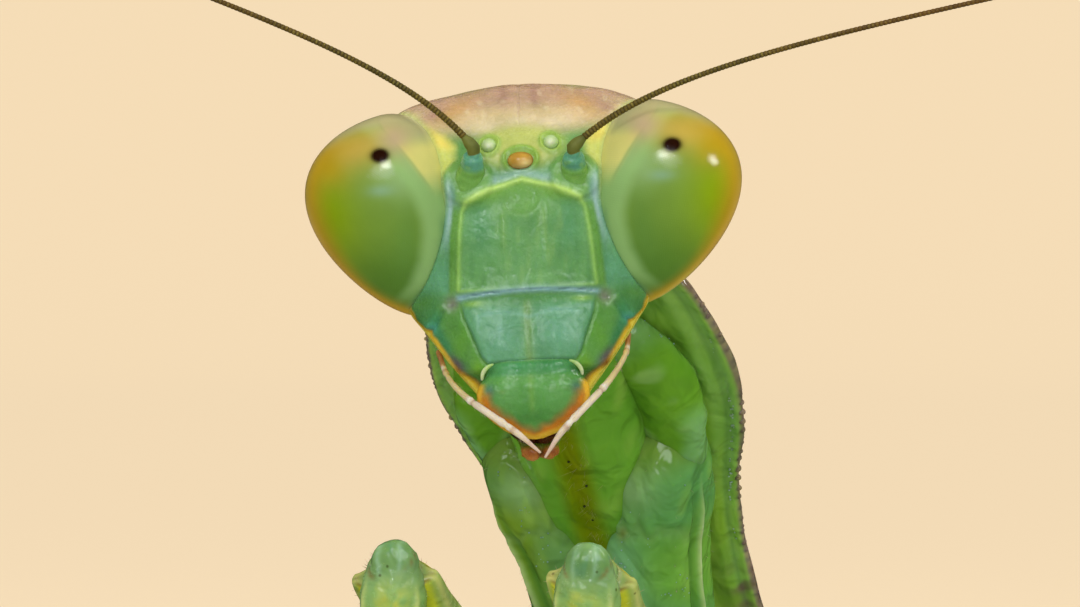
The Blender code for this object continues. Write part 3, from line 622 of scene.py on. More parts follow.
def shell_material(
    name,
    dark=(0.72, 0.80, 0.66),
    light=(1.20, 1.12, 1.05),
    patch=420.0,
    grain=5200.0,
    grain_depth=0.25,
    swell=900.0,
    swell_depth=0.0,
    specks=0.0,
    roughness=(0.30, 0.50),
    soft=0.35,
    soft_reach=0.0006,
    gloss=0.25,
    coat=0.0,
    coat_roughness=0.12,
    sheen=0.0,
):
    """Living cuticle: the painted markings, mottled in patches, with fine grain and a soft inner glow."""
    material = bpy.data.materials.new(name)
    material.use_nodes = True
    tree = material.node_tree
    shader = tree.nodes["Principled BSDF"]
    place = node(tree, "ShaderNodeTexCoord").outputs["Object"]
    marks = node(tree, "ShaderNodeAttribute", attribute_name="paint").outputs["Color"]
    blotches = {"Vector": place, "Scale": patch, "Detail": 4.0, "Roughness": 0.6}
    patches = node(tree, "ShaderNodeTexNoise", blotches).outputs["Fac"]
    shade = multiplied(tree, marks, ramp(tree, patches, (0.32, dark), (0.68, light)))
    fine = node(tree, "ShaderNodeTexNoise", {"Vector": place, "Scale": grain, "Detail": 3.0}).outputs["Fac"]
    if specks:
        cells = node(tree, "ShaderNodeTexVoronoi", {"Vector": place, "Scale": specks}).outputs["Distance"]
        dots = ramp(tree, cells, (0.05, (0.42, 0.40, 0.30)), (0.12, (1.0, 1.0, 1.0)))
        shade = multiplied(tree, shade, dots)
    tree.links.new(shade, shader.inputs["Base Color"])
    tree.links.new(ramp(tree, fine, (0.3, roughness[0]), (0.7, roughness[1])), shader.inputs["Roughness"])
    bump = node(tree, "ShaderNodeBump", {"Height": fine, "Strength": grain_depth, "Distance": 0.00002})
    if swell_depth:
        swells = {"Vector": place, "Scale": swell, "Detail": 2.0, "Distortion": 0.6}
        waves = node(tree, "ShaderNodeTexNoise", swells).outputs["Fac"]
        lower = node(tree, "ShaderNodeBump", {"Height": waves, "Strength": 1.0, "Distance": swell_depth})
        tree.links.new(lower.outputs["Normal"], bump.inputs["Normal"])
    tree.links.new(bump.outputs["Normal"], shader.inputs["Normal"])
    plain = {
        "Subsurface Weight": soft,
        "Subsurface Radius": (1.0, 1.0, 0.35),
        "Subsurface Scale": soft_reach,
        "Specular IOR Level": gloss,
        "Coat Weight": coat,
        "Coat Roughness": coat_roughness,
        "Sheen Weight": sheen,
        "Sheen Roughness": 0.35,
        "Sheen Tint": (1.0, 0.84, 0.50, 1.0),
    }
    for key, value in plain.items():
        shader.inputs[key].default_value = value
    return material


FACE = shell_material(
    "face",
    patch=1500,
    grain=9000,
    grain_depth=0.30,
    swell=1900,
    swell_depth=0.00006,
    dark=(0.84, 0.87, 0.80),
    light=(1.10, 1.07, 1.10),
    roughness=(0.20, 0.34),
    soft_reach=0.00025,
    gloss=0.5,
)
CUTICLE = shell_material("cuticle", patch=380, grain=4200, swell=700, swell_depth=0.00012, gloss=0.5)
WET = shell_material(
    "wet_cuticle",
    patch=520,
    grain=3600,
    dark=(0.80, 0.88, 0.72),
    light=(1.18, 1.10, 1.12),
    swell=1300,
    swell_depth=0.00026,
    roughness=(0.09, 0.20),
    soft=0.45,
    gloss=0.6,
)
DOTTED = shell_material(
    "dotted_cuticle",
    patch=900,
    grain=6000,
    swell=1500,
    swell_depth=0.00014,
    specks=2600,
    roughness=(0.14, 0.30),
    soft=0.45,
    gloss=0.55,
)
LENS = shell_material(
    "compound_eye",
    dark=(0.93, 0.94, 0.92),
    light=(1.05, 1.05, 1.05),
    patch=700,
    grain=14000,
    grain_depth=0.03,
    roughness=(0.11, 0.15),
    soft=0.12,
    soft_reach=0.0003,
    gloss=0.5,
    sheen=0.22,
)
BEAD = shell_material(
    "ocellus",
    patch=2500,
    grain=9000,
    grain_depth=0.05,
    dark=(0.85, 0.80, 0.75),
    light=(1.15, 1.15, 1.15),
    roughness=(0.10, 0.16),
    soft=0.5,
    soft_reach=0.0003,
    gloss=0.5,
    coat=0.5,
    coat_roughness=0.03,
)
FEELER = shell_material(
    "feeler", patch=2500, grain=12000, roughness=(0.40, 0.60), soft=0.0, dark=(0.7, 0.7, 0.65)
)
PALP = shell_material(
    "palp",
    patch=2200,
    grain=11000,
    dark=(0.86, 0.83, 0.78),
    light=(1.06, 1.05, 1.04),
    soft=0.5,
    soft_reach=0.0003,
)
WING = shell_material("wing", patch=260, grain=2600, grain_depth=0.5, roughness=(0.35, 0.55), soft=0.2)


# ---------------------------------------------------------------- face: lines, relief and markings

# Outlines on the face: across and height, in the head's frame. The first three and the jaws are given by
# their right half, from top to bottom.
SHIELD = both_sides([
    (0.0, 1.02), (0.5, 0.88), (0.9, 0.73), (1.15, 0.59), (1.27, 0.42), (1.33, 0.0), (1.37, -0.5),
    (1.42, -1.22),
])
CLYPEUS = both_sides([
    (0.0, -1.36), (1.40, -1.40), (1.34, -1.74), (1.09, -2.28), (0.97, -2.58), (0.86, -2.72)
])
LABRUM = both_sides([
    (0.0, -2.95), (1.02, -2.98), (1.12, -3.20), (1.17, -3.48), (1.08, -3.75), (0.82, -4.00), (0.50, -4.20),
    (0.0, -4.33),
])
JAW_EDGE = ((1.96, -2.38), (1.50, -2.97), (1.14, -3.47), (0.92, -3.78))
MARGIN = ((2.66, -1.36), (2.44, -1.78), (2.22, -2.00), (2.14, -2.10), *JAW_EDGE)
MANDIBLES = both_sides([(2.60, -1.00), (2.14, -2.05), *JAW_EDGE, (0.42, -4.34)])
WEDGE = (
    (1.48, 1.22), (1.86, 1.22), (2.06, 1.60), (2.34, 2.12), (2.62, 2.46), (2.05, 2.22), (1.60, 2.02),
    (1.36, 1.78), (1.36, 1.45),
)
EYE_MEAN_RADIUS = 1.6


def eye_gap(points):
    """Rough distance of points in the head's frame from the nearer eye's surface, negative inside."""
    lean = math.radians(EYE_LEAN)
    x, y, z = axes_of(points)
    x, y, z = np.abs(x) - EYE_CENTRE[0], y - EYE_CENTRE[1], z - EYE_CENTRE[2]
    across, rise = x * math.cos(lean) - z * math.sin(lean), x * math.sin(lean) + z * math.cos(lean)
    up = np.clip(rise / EYE_HALF_LENGTH, -1.5, 1.5)
    girth = 1 + EYE_BLUNTNESS * up
    half = np.where(across > 0, EYE_HALF_WIDTH_OUT * girth, EYE_HALF_WIDTH_IN)
    reach = np.sqrt((across / half) ** 2 + (y / (EYE_HALF_DEPTH * girth)) ** 2 + up**2)
    return (reach - 1) * EYE_MEAN_RADIUS


def suture(x):
    """Height of the curved groove between the shield and the clypeus."""
    return -1.225 - 0.055 * x * x


def face_relief(x, z, gap):
    """Height of the face's ridges and grooves."""
    shield = inside_of(x, z, SHIELD)
    side = np.abs(x)
    low = ease(-1.30, -1.16, z)
    lift = 0.050 * hump(shield, 0.045) * low
    lift -= 0.030 * ease(0.03, 0.30, shield) * low
    lift += 0.018 * ease(-0.20, -0.14, shield) * ease(0.0, -0.05, shield) * low
    lift -= 0.035 * hump(shield + 0.30, 0.09) * low
    lift += 0.012 * hump(side - 0.43, 0.06) * ease(-1.1, -0.8, z) * ease(0.6, 0.4, z)
    notch = np.hypot(x + 0.02, z - 0.72) - 0.40
    lift -= 0.012 * hump(notch, 0.025) * ease(0.62, 0.5, z)
    below = z - suture(x)
    width = ease(1.62, 1.45, side)
    lift += 0.035 * hump(below + 0.035, 0.050) * width - 0.030 * hump(below, 0.016) * width
    lift -= 0.090 * spot(side, z, (1.60, -1.46), (0.13, 0.12))
    ring_gap = np.hypot((side - 1.10) / 1.08, z - 1.04)
    socket_rim = 0.016 * hump(ring_gap - 0.43, 0.035)
    lift += 0.15 * ease(0.66, 0.30, ring_gap) + socket_rim - 0.014 * hump(ring_gap - 0.52, 0.035)
    lift += 0.10 * ease(0.9, 0.4, np.hypot(x / 1.1, (z - 1.66) / 0.55))
    for _, place, half in OCELLI:
        rim = np.hypot((x - place[0]) / half[0], (z - place[2]) / half[2])
        lift += 0.055 * hump(rim - 1.22, 0.16)
    lift -= 0.020 * hump(x, 0.030) * ease(2.15, 2.4, z)
    sweep, _ = to_path(side, z, ((0.75, 1.95), (1.25, 2.12), (1.75, 2.42), (2.1, 2.75)))
    lift -= 0.030 * hump(sweep, 0.045)
    lift += 0.030 * hump(gap - 0.09, 0.050) - 0.040 * hump(gap, 0.035) * ease(1.2, 0.0, z)
    cheek, _ = to_path(side, z, ((2.14, -2.06), (1.96, -1.90), (1.80, -1.62)))
    lift -= 0.030 * hump(cheek, 0.030) - 0.030 * hump(cheek - 0.10, 0.060)
    plate = inside_of(x, z, CLYPEUS)
    span = ease(-1.40, -1.72, z) * ease(-2.80, -2.72, z)
    lift += 0.22 * ease(1.95, 0.85, side) * ease(-1.25, -2.55, z) * ease(-3.10, -2.76, z)
    lift += (0.060 * ease(-0.01, 0.08, plate) - 0.028 * hump(plate + 0.02, 0.028)) * span
    lift += (0.030 * spot(side, z, (0.55, -2.0), (0.4, 0.45)) - 0.022 * hump(x + 0.03, 0.05)) * span
    brow_groove = 0.020 * hump(z + 1.66, 0.03) * ease(1.2, 0.9, side)
    lift += 0.030 * spot(side, z, (1.12, -1.50), (0.20, 0.07)) - brow_groove
    lift += 0.035 * hump(inside_of(x, z, MANDIBLES) - 0.05, 0.045) * ease(-1.95, -2.15, z)
    lift -= 0.12 * hump(x, 0.07) * ease(-2.9, -3.2, z)
    lift += (0.045 * hump(z + 1.86, 0.09) - 0.050 * hump(z + 2.04, 0.05)) * ease(1.95, 2.15, side)
    return lift


def paint_crown(paint, x, z, side, blots):
    """The top of the head: pale brown with cream and rust patches."""
    return layered(
        paint,
        (208, 184, 136, ease(1.78, 2.30, z)),
        (190, 152, 126, 0.85 * ease(2.40, 2.80, z)),
        (222, 206, 164, 0.8 * spot(side, z, (0.72, 2.20), (0.42, 0.15))),
        (228, 212, 170, 0.7 * spot(x, z, (0.0, 2.28), (0.30, 0.12))),
        (196, 154, 92, 0.8 * spot(side, z, (1.35, 2.58), (0.50, 0.20), -25)),
        (176, 132, 118, 0.6 * spot(side, z, (1.80, 2.50), (0.35, 0.12), -30)),
        (160, 118, 104, 0.5 * hump(side - 0.32, 0.10) * ease(2.45, 2.75, z)),
        (196, 166, 136, 0.5 * hump(x, 0.035) * ease(2.3, 2.6, z)),
        (232, 212, 168, 0.45 * ease(0.5, 1.4, blots) * ease(2.0, 2.3, z)),
    )


def paint_brow(paint, x, z, side, shield, streaks):
    """Between the feelers, round the simple eyes, and the pale wedges beside them."""
    arch, _ = to_path(side, z, ((0.0, 1.17), (0.55, 1.04), (1.0, 0.87), (1.42, 0.68)))
    wedge = ease(-0.14, 0.12, inside_of(side, z, WEDGE))
    socket = np.hypot(side - 1.10, z - 1.05)
    return layered(
        paint,
        (196, 200, 108, 0.90 * ease(1.20, 0.60, np.hypot(x / 0.98, (z - 1.72) / 0.50))),
        (
            176, 194, 140,
            0.6 * ease(0.5, 1.3, streaks) * ease(1.1, 0.7, side) * ease(1.2, 1.35, z) * ease(2.0, 1.8, z),
        ),
        (128, 172, 62, 0.85 * ease(1.5, 1.15, np.hypot(x / 0.30, (z - 1.43) / 0.21))),
        (150, 188, 80, 0.7 * ease(1.7, 1.1, np.hypot((side - 0.64) / 0.19, (z - 1.765) / 0.19))),
        (150, 188, 166, 0.9 * hump(arch, 0.13) * ease(-0.02, -0.07, shield)),
        (222, 226, 118, 0.95 * wedge),
        (244, 220, 104, 0.9 * wedge * ease(1.62, 1.92, z)),
        (232, 188, 108, 0.7 * wedge * ease(1.95, 2.25, z)),
        (122, 170, 84, 0.9 * ease(0.54, 0.38, socket)),
        (104, 154, 78, 0.4 * hump(socket - 0.47, 0.05)),
        (96, 164, 128, 0.6 * spot(side, z, (1.66, 1.08), (0.16, 0.14))),
    )


def paint_shield(paint, x, z, side, shield, gap, streaks, blots):
    """The plate between the eyes, its pale edge with a painted highlight along its top, and the strips beside
    it.
    """
    within = ease(-0.03, 0.05, shield) * ease(-1.26, -1.20, z)
    notch = np.hypot(x + 0.02, z - 0.72)
    outer = ease(-0.23, -0.16, shield) * ease(0.0, -0.05, shield) * ease(-1.25, -1.15, z)
    strip = ease(-0.20, -0.26, shield) * ease(0.01, 0.05, gap) * ease(1.30, 1.42, side)
    return layered(
        paint,
        (107, 161, 92, within),
        (90, 154, 106, 0.60 * within * spot(side, z, (0.92, 0.05), (0.26, 0.60))),
        (134, 176, 100, 0.45 * within * ease(0.1, 1.1, streaks) * ease(0.95, 0.75, side)),
        (86, 142, 82, 0.40 * within * ease(0.1, 1.2, -streaks)),
        (128, 176, 112, 0.30 * within * ease(0.6, 1.4, blots)),
        (136, 178, 96, 0.50 * within * hump(side - 0.43, 0.06) * ease(0.55, 0.3, z) * ease(-0.7, -0.1, z)),
        (124, 174, 108, 0.50 * within * spot(side, z, (0.45, -0.98), (0.22, 0.24))),
        (100, 150, 82, 0.5 * within * spot(x, z, (0.08, -0.30), (0.16, 0.6))),
        (116, 170, 56, 0.9 * within * ease(0.34, 0.06, shield) * ease(0.40, 0.75, z)),
        (102, 158, 66, 0.6 * within * ease(0.42, 0.36, notch)),
        (130, 178, 98, 0.35 * within * hump(notch - 0.42, 0.03) * ease(0.6, 0.5, z)),
        (106, 158, 68, 0.8 * outer * ease(0.55, 0.35, z)),
        (150, 194, 96, 0.80 * hump(shield, 0.048) * ease(-1.28, -1.18, z)),
        # Brighter rim at the top of the shield: its pale edge with a painted highlight
        (190, 222, 116, 0.90 * hump(shield + 0.01, 0.068) * ease(0.45, 0.75, z)),
        (130, 178, 92, 0.4 * within * ease(0.1, 0.5, z) * ease(0.9, 0.5, side)),
        (126, 172, 146, 0.90 * strip * ease(-0.65, -0.1, z) * ease(1.15, 0.85, z)),
        (100, 162, 116, 0.9 * strip * ease(-0.1, -0.75, z) * ease(-1.5, -1.1, z)),
        (170, 200, 190, 0.7 * hump(gap - 0.13, 0.045) * ease(-0.3, 0.3, z) * ease(1.2, 0.9, z)),
    )


def paint_cheeks(paint, z, side, lower):
    """The cheeks, their teal creases and the yellow margins of the jaws."""
    cheek, _ = to_path(side, z, ((2.10, -1.55), (2.28, -1.74)))
    teal, _ = to_path(side, z, ((1.92, -1.62), (1.96, -1.88), (1.86, -2.15), (1.66, -2.42), (1.42, -2.76)))
    rim, along = to_path(side, z, MARGIN)
    thick = 0.12 + 0.08 * ease(0.45, 0.80, along) - 0.04 * hump(along - 0.18, 0.06)
    return layered(
        paint,
        (98, 154, 72, lower),
        (76, 136, 74, 0.85 * ease(0.55, 0.12, cheek)),
        (96, 150, 66, 0.6 * spot(side, z, (2.20, -1.42), (0.22, 0.12), -25)),
        (60, 142, 98, 0.65 * hump(teal, 0.13) * ease(-1.45, -1.85, z)),
        (86, 168, 148, 0.6 * spot(side, z, (2.03, -1.93), (0.10, 0.13), -40)),
        (104, 162, 62, 0.9 * spot(side, z, (1.36, -2.20), (0.19, 0.62), 22)),
        (92, 150, 66, 0.6 * spot(side, z, (1.48, -1.80), (0.14, 0.20))),
        (116, 170, 42, 0.9 * spot(side, z, (1.04, -2.88), (0.13, 0.26))),
        (64, 122, 60, 0.6 * ease(-2.75, -3.0, z) * ease(1.35, 1.15, side)),
        (232, 184, 34, 0.97 * ease(1.35, 0.70, rim / thick)),
        (255, 232, 86, 0.90 * ease(0.85, 0.30, rim / thick)),
        (150, 92, 40, 0.5 * hump(rim - thick * 1.1, 0.04) * ease(0.5, 0.62, along)),
        (106, 92, 100, 0.85 * spot(side, z, (1.48, -2.66), (0.24, 0.09), 40)),
        (126, 46, 22, 0.8 * spot(side, z, (1.49, -2.82), (0.11, 0.05), 40)),
    )


def paint_clypeus(paint, x, z, side, lower, streaks, blots):
    """The plate over the upper lip, with a painted bluish sheen and a painted highlight on it, and the suture
    and pits above it.
    """
    below = z - suture(x)
    plate = inside_of(x, z, CLYPEUS)
    inner = ease(-0.01, 0.03, plate) * lower
    painted_shine = hump(z + 1.68 + 0.35 * (side - 0.6) ** 2, 0.05) * ease(1.15, 0.9, side)
    return layered(
        paint,
        (100, 158, 108, inner),
        # Teal-blue patch on the plate's bulge: its teal colour with a painted bluish sheen
        (108, 164, 130, 0.60 * inner * spot(side, z, (0.55, -2.10), (0.42, 0.50))),
        (88, 146, 74, 0.85 * inner * ease(-1.62, -1.42, z)),
        (138, 182, 80, 0.85 * inner * spot(side, z, (1.12, -1.47), (0.20, 0.07))),
        (132, 166, 92, 0.65 * inner * hump(x + 0.03, 0.11) * ease(-1.35, -1.6, z)),
        # Pale teal band across the upper plate: a painted highlight
        (134, 182, 160, 0.5 * inner * painted_shine),
        (128, 180, 152, 0.30 * inner * ease(0.3, 1.3, streaks + 0.4 * blots)),
        (78, 138, 96, 0.35 * inner * ease(0.4, 1.4, -blots)),
        (74, 132, 78, 0.60 * hump(plate, 0.022) * ease(-1.75, -1.9, z) * ease(-2.66, -2.56, z)),
        (134, 174, 172, 0.95 * hump(below + 0.01, 0.075) * ease(1.62, 1.42, side)),
        (68, 104, 104, 0.65 * hump(below, 0.016) * ease(1.45, 1.2, side)),
        (150, 152, 132, 0.85 * spot(side, z, (1.60, -1.46), (0.14, 0.15))),
        (90, 88, 70, 0.6 * spot(side, z, (1.64, -1.50), (0.05, 0.04))),
    )


def paint_upper_lip(paint, x, y, z, side, blots):
    """The lip, its orange edge and the dark jaw tips under it."""
    lip = inside_of(x, z, LABRUM)
    band = ease(-2.70, -2.75, z) * ease(1.06, 0.98, side) * ease(-1.50, -1.62, y)
    on_lip = ease(-0.02, 0.10, lip) * ease(-1.30, -1.42, y)
    edge = lip + 0.03 * blots + 0.09 * ease(0.55, 0.05, side)
    hem = ease(0.13, 0.04, lip) * ease(-0.12, -0.04, lip)
    return layered(
        paint,
        (84, 150, 84, band),
        (62, 140, 80, 0.7 * band * spot(side, z, (0.36, -2.80), (0.34, 0.13))),
        (94, 156, 74, on_lip),
        (110, 164, 92, 0.50 * on_lip * spot(side, z, (0.52, -3.40), (0.26, 0.32))),
        (66, 130, 56, 0.5 * on_lip * spot(x, z, (0.0, -3.85), (0.40, 0.22))),
        (118, 164, 74, 0.6 * on_lip * hump(x + 0.03, 0.07) * ease(-3.9, -3.6, z)),
        (80, 110, 112, 0.65 * on_lip * spot(side, z, (0.90, -3.30), (0.12, 0.14))),
        (150, 124, 60, 0.8 * on_lip * ease(0.40, 0.26, edge) * ease(-3.25, -3.5, z)),
        (206, 126, 26, on_lip * ease(0.29, 0.16, edge) * ease(-3.25, -3.55, z)),
        (196, 104, 44, 0.4 * on_lip * spot(side, z, (0.82, -3.78), (0.20, 0.12), 40)),
        (212, 152, 52, 0.8 * on_lip * ease(0.20, 0.06, lip) * ease(-3.85, -3.55, z) * ease(-3.1, -3.3, z)),
        (240, 186, 50, 0.9 * hem * ease(-3.10, -3.25, z) * ease(-1.30, -1.42, y)),
        (70, 24, 8, ease(-4.12, -4.26, z) * ease(-1.46, -1.40, y)),
    )


def face_paint(x, y, z, gap):
    """Markings of the face, read from the front in the head's frame, with some painted highlights and sheen
    among them.
    """
    side = np.abs(x)
    shield = inside_of(x, z, SHIELD)
    below = z - suture(x)
    lower = ease(0.02, -0.06, below * ease(2.1, 1.55, side) + 0.25 * (z + 1.50) * ease(1.55, 2.1, side))
    place = np.stack([x, y, z], axis=-1)
    streaks, blots = ripple(place * (2.6, 1.0, 0.7), 0.62, 61), ripple(place, 0.36, 62)
    paint = paint_crown(blank(x.shape, (106, 160, 86)), x, z, side, blots)
    paint = paint_brow(paint, x, z, side, shield, streaks)
    paint = paint_shield(paint, x, z, side, shield, gap, streaks, blots)
    paint = paint_cheeks(paint, z, side, lower)
    paint = paint_clypeus(paint, x, z, side, lower, streaks, blots)
    paint = paint_upper_lip(paint, x, y, z, side, blots)
    return layered(
        paint,
        (76, 126, 88, 0.70 * hump(gap, 0.035) * ease(-1.7, -1.4, z) * ease(0.6, -0.2, z)),
        (204, 218, 130, 0.6 * hump(gap, 0.06) * ease(0.2, 1.0, z)),
    )


# ---------------------------------------------------------------- head


FAR_FROM_EYES = 9.0
LOBE_ROUTE = ((0.78, -1.87, -2.74), (0.91, -1.86, -2.80), (1.01, -1.80, -2.92), (1.04, -1.72, -3.06))
LABIUM_ASIDE = 0.05
PALP_KNOTS = (0.20, 0.52, 0.76)


def build_head_skin():
    """Head capsule, clypeus and jaws as one skin."""
    piece = Piece()
    grid = upright_rings(HEAD_STATIONS, 300, 328, crowding=0.66)
    front = ease(0.10, 0.65, -grid_normals(grid)[..., 1])
    gap = eye_gap(grid)
    x, y, z = axes_of(grid)
    lift = front * face_relief(x, z, gap) + 0.008 * ripple(grid, 1.1, 3)
    lift += (1 - front) * (0.025 * ripple(grid, 2.2, 5) - 0.04 * hump(x, 0.05) * ease(0.0, 1.0, y))
    paint = face_paint(x, np.zeros(x.shape), z, gap)
    edge = np.abs(x) / resample(HEAD_STATIONS, z[:, 0])[:, 1][:, None]
    back = layered(
        blank(x.shape, (112, 152, 76)),
        (186, 152, 118, ease(1.4, 2.6, z)),
        (150, 176, 90, 0.5 * hump(np.abs(x) - 1.2, 0.35)),
        (196, 150, 40, 0.8 * ease(-1.9, -2.2, z) * ease(0.75, 0.95, edge)),
        (66, 26, 10, ease(-3.7, -4.1, z)),
    )
    behind = ease(0.3, 0.9, y)[..., None]
    piece.grid(from_head(raised(grid, lift)), paint * (1 - behind) + back * behind)
    piece.build("head_skin", FACE, "head_capsule", "clypeus", "mandible_left", "mandible_right")


def build_upper_lip():
    piece = Piece()
    grid = upright_rings(LABRUM_STATIONS, 130, 220, crowding=0.55)
    x, y, z = axes_of(grid)
    groove = 0.012 * hump(z + 3.02 - 0.1 * np.abs(x), 0.06)
    lift = 0.035 * spot(np.abs(x), z, (0.52, -3.40), (0.30, 0.33)) - groove
    lift = lift + 0.018 * hump(x, 0.10) * ease(-3.1, -3.3, z) + 0.005 * ripple(grid, 0.3, 9)
    piece.grid(from_head(raised(grid, lift)), face_paint(x, y, z, np.full(x.shape, FAR_FROM_EYES)))
    piece.build("upper_lip", FACE, "labrum")


def build_lip_lobes():
    """The two small pale pads where the upper lip meets the clypeus."""
    piece = Piece()
    for _, sign in SIDES:
        line = smooth_route([mirrored(p, sign) for p in LOBE_ROUTE], 18)
        radii = 0.040 * np.sqrt(np.clip(1 - np.linspace(-0.98, 0.9, 18) ** 2, 0.03, 1)) + 0.005
        grid = tube_rings(line, radii, 14)
        pale = 0.8 * ease(0.85, 1.06, np.abs(grid[..., 0]))
        piece.grid(from_head(grid), over(blank(pale.shape, (160, 196, 110)), (226, 232, 180), pale))
    piece.build("lip_lobes", FACE)


def build_lower_lip():
    piece = Piece()
    grid = upright_rings(LABIUM_STATIONS, 96, 90)
    x, _, z = axes_of(grid)
    across = x - LABIUM_ASIDE
    cleft = 0.22 * hump(across, 0.06) * ease(-4.40, -4.62, z)
    lift = 0.05 * spot(np.abs(across), z, (0.25, -4.66), (0.16, 0.16)) - cleft
    lift = lift + 0.02 * ripple(grid, 0.14, 14) * ease(-4.5, -4.6, z)
    paint = layered(
        blank(x.shape, (104, 122, 30)),
        (190, 122, 52, ease(-4.46, -4.60, z)),
        (222, 150, 92, 0.8 * ease(-4.68, -4.78, z)),
        (120, 54, 22, 0.9 * hump(across, 0.09) * ease(-4.45, -4.6, z)),
        (132, 60, 24, 0.7 * spot(np.abs(across), z, (0.20, -4.62), (0.12, 0.07))),
    )
    shifted = grid + (LABIUM_ASIDE, 0, 0)
    piece.grid(from_head(shifted + grid_normals(grid) * lift[..., None]), paint)
    piece.build("lower_lip", FACE, "labium")


def add_palp_hairs(piece, route, radius):
    """Short hairs that lean towards the palp's tip."""
    places = 24
    for _ in range(60):
        at = int(RANDOM.uniform(0.3, 0.95) * (len(route) - 1))
        turn = RANDOM.uniform(0, 2 * math.pi) / (2 * math.pi)
        around = tube_rings(route[at - 1 : at + 2], (radius[at],) * 3, places)[1]
        root = around[int(turn * places) % places]
        out = (root - route[at]) / np.linalg.norm(root - route[at])
        ahead = (route[at + 1] - route[at - 1]) / np.linalg.norm(route[at + 1] - route[at - 1])
        tip = root + (out * 0.6 + ahead) * RANDOM.uniform(0.06, 0.11)
        piece.hair(from_head(root), from_head(tip), 0.004, srgb(190, 160, 110))


def build_palps():
    for side, _ in SIDES:
        piece = Piece()
        route = smooth_route(PALP_ROUTES[side], 90)
        share = np.linspace(0, 1, len(route))
        radius = np.interp(share, (0, 0.10, 0.30, 0.60, 0.85, 1.0), (0.06, 0.056, 0.056, 0.074, 0.070, 0.026))
        for knot in PALP_KNOTS:
            radius = radius + 0.012 * hump(share - knot, 0.016) - 0.016 * hump(share - knot - 0.024, 0.010)
        points, radii = rounded(route, radius)
        grid = tube_rings(points, radii, 20)
        share = lengthwise(len(points), 20)
        paint = layered(
            blank(share.shape, (214, 190, 140)),
            (226, 206, 182, ease(0.45, 0.55, share)),
            (222, 178, 160, 0.8 * ease(0.80, 0.9, share)),
            (168, 112, 66, 0.9 * ease(0.26, 0.14, share)),
        )
        for knot in PALP_KNOTS:
            paint = layered(
                paint,
                (238, 226, 204, 0.8 * hump(share - knot, 0.015)),
                (168, 122, 92, 0.6 * hump(share - knot - 0.025, 0.010)),
            )
        piece.grid(from_head(grid), paint)
        add_palp_hairs(piece, route, radius)
        piece.build(f"mouth_feeler_{side}", PALP, f"palp_{side}")


def geodesic(count):
    """A unit sphere whose faces are an icosahedron's, each cut into count x count triangles.
    Returns its points, its faces and whether each point is a lens's middle."""
    build = bmesh.new()
    bmesh.ops.create_icosphere(build, subdivisions=1, radius=1.0)
    build.verts.ensure_lookup_table()
    corners = np.array([v.co for v in build.verts])
    sides = [tuple(v.index for v in f.verts) for f in build.faces]
    build.free()
    index, points, middles, faces = {}, [], [], []
    for a, b, c in sides:
        local = {}
        for i in range(count + 1):
            for j in range(count + 1 - i):
                k = count - i - j
                key = tuple(sorted((v, w) for v, w in ((a, i), (b, j), (c, k)) if w))
                if key not in index:
                    index[key] = len(points)
                    points.append((corners[a] * i + corners[b] * j + corners[c] * k) / count)
                    middles.append(i % 2 == 0 and j % 2 == 0)
                local[i, j] = index[key]
        for i in range(count):
            for j in range(count - i):
                faces.append((local[i, j], local[i + 1, j], local[i, j + 1]))
                if i + j < count - 1:
                    faces.append((local[i + 1, j], local[i + 1, j + 1], local[i, j + 1]))
    points = np.array(points)
    return points / np.linalg.norm(points, axis=1, keepdims=True), np.array(faces), np.array(middles)


# Heights of the eye's edge against the face, and how far out it is at each
EYE_EDGE = (
    (-1.5, -1.0, -0.5, 0.0, 0.5, 1.0, 1.5, 2.0, 2.4),
    (2.55, 2.02, 1.78, 1.68, 1.68, 1.74, 1.95, 2.2, 2.45),
)


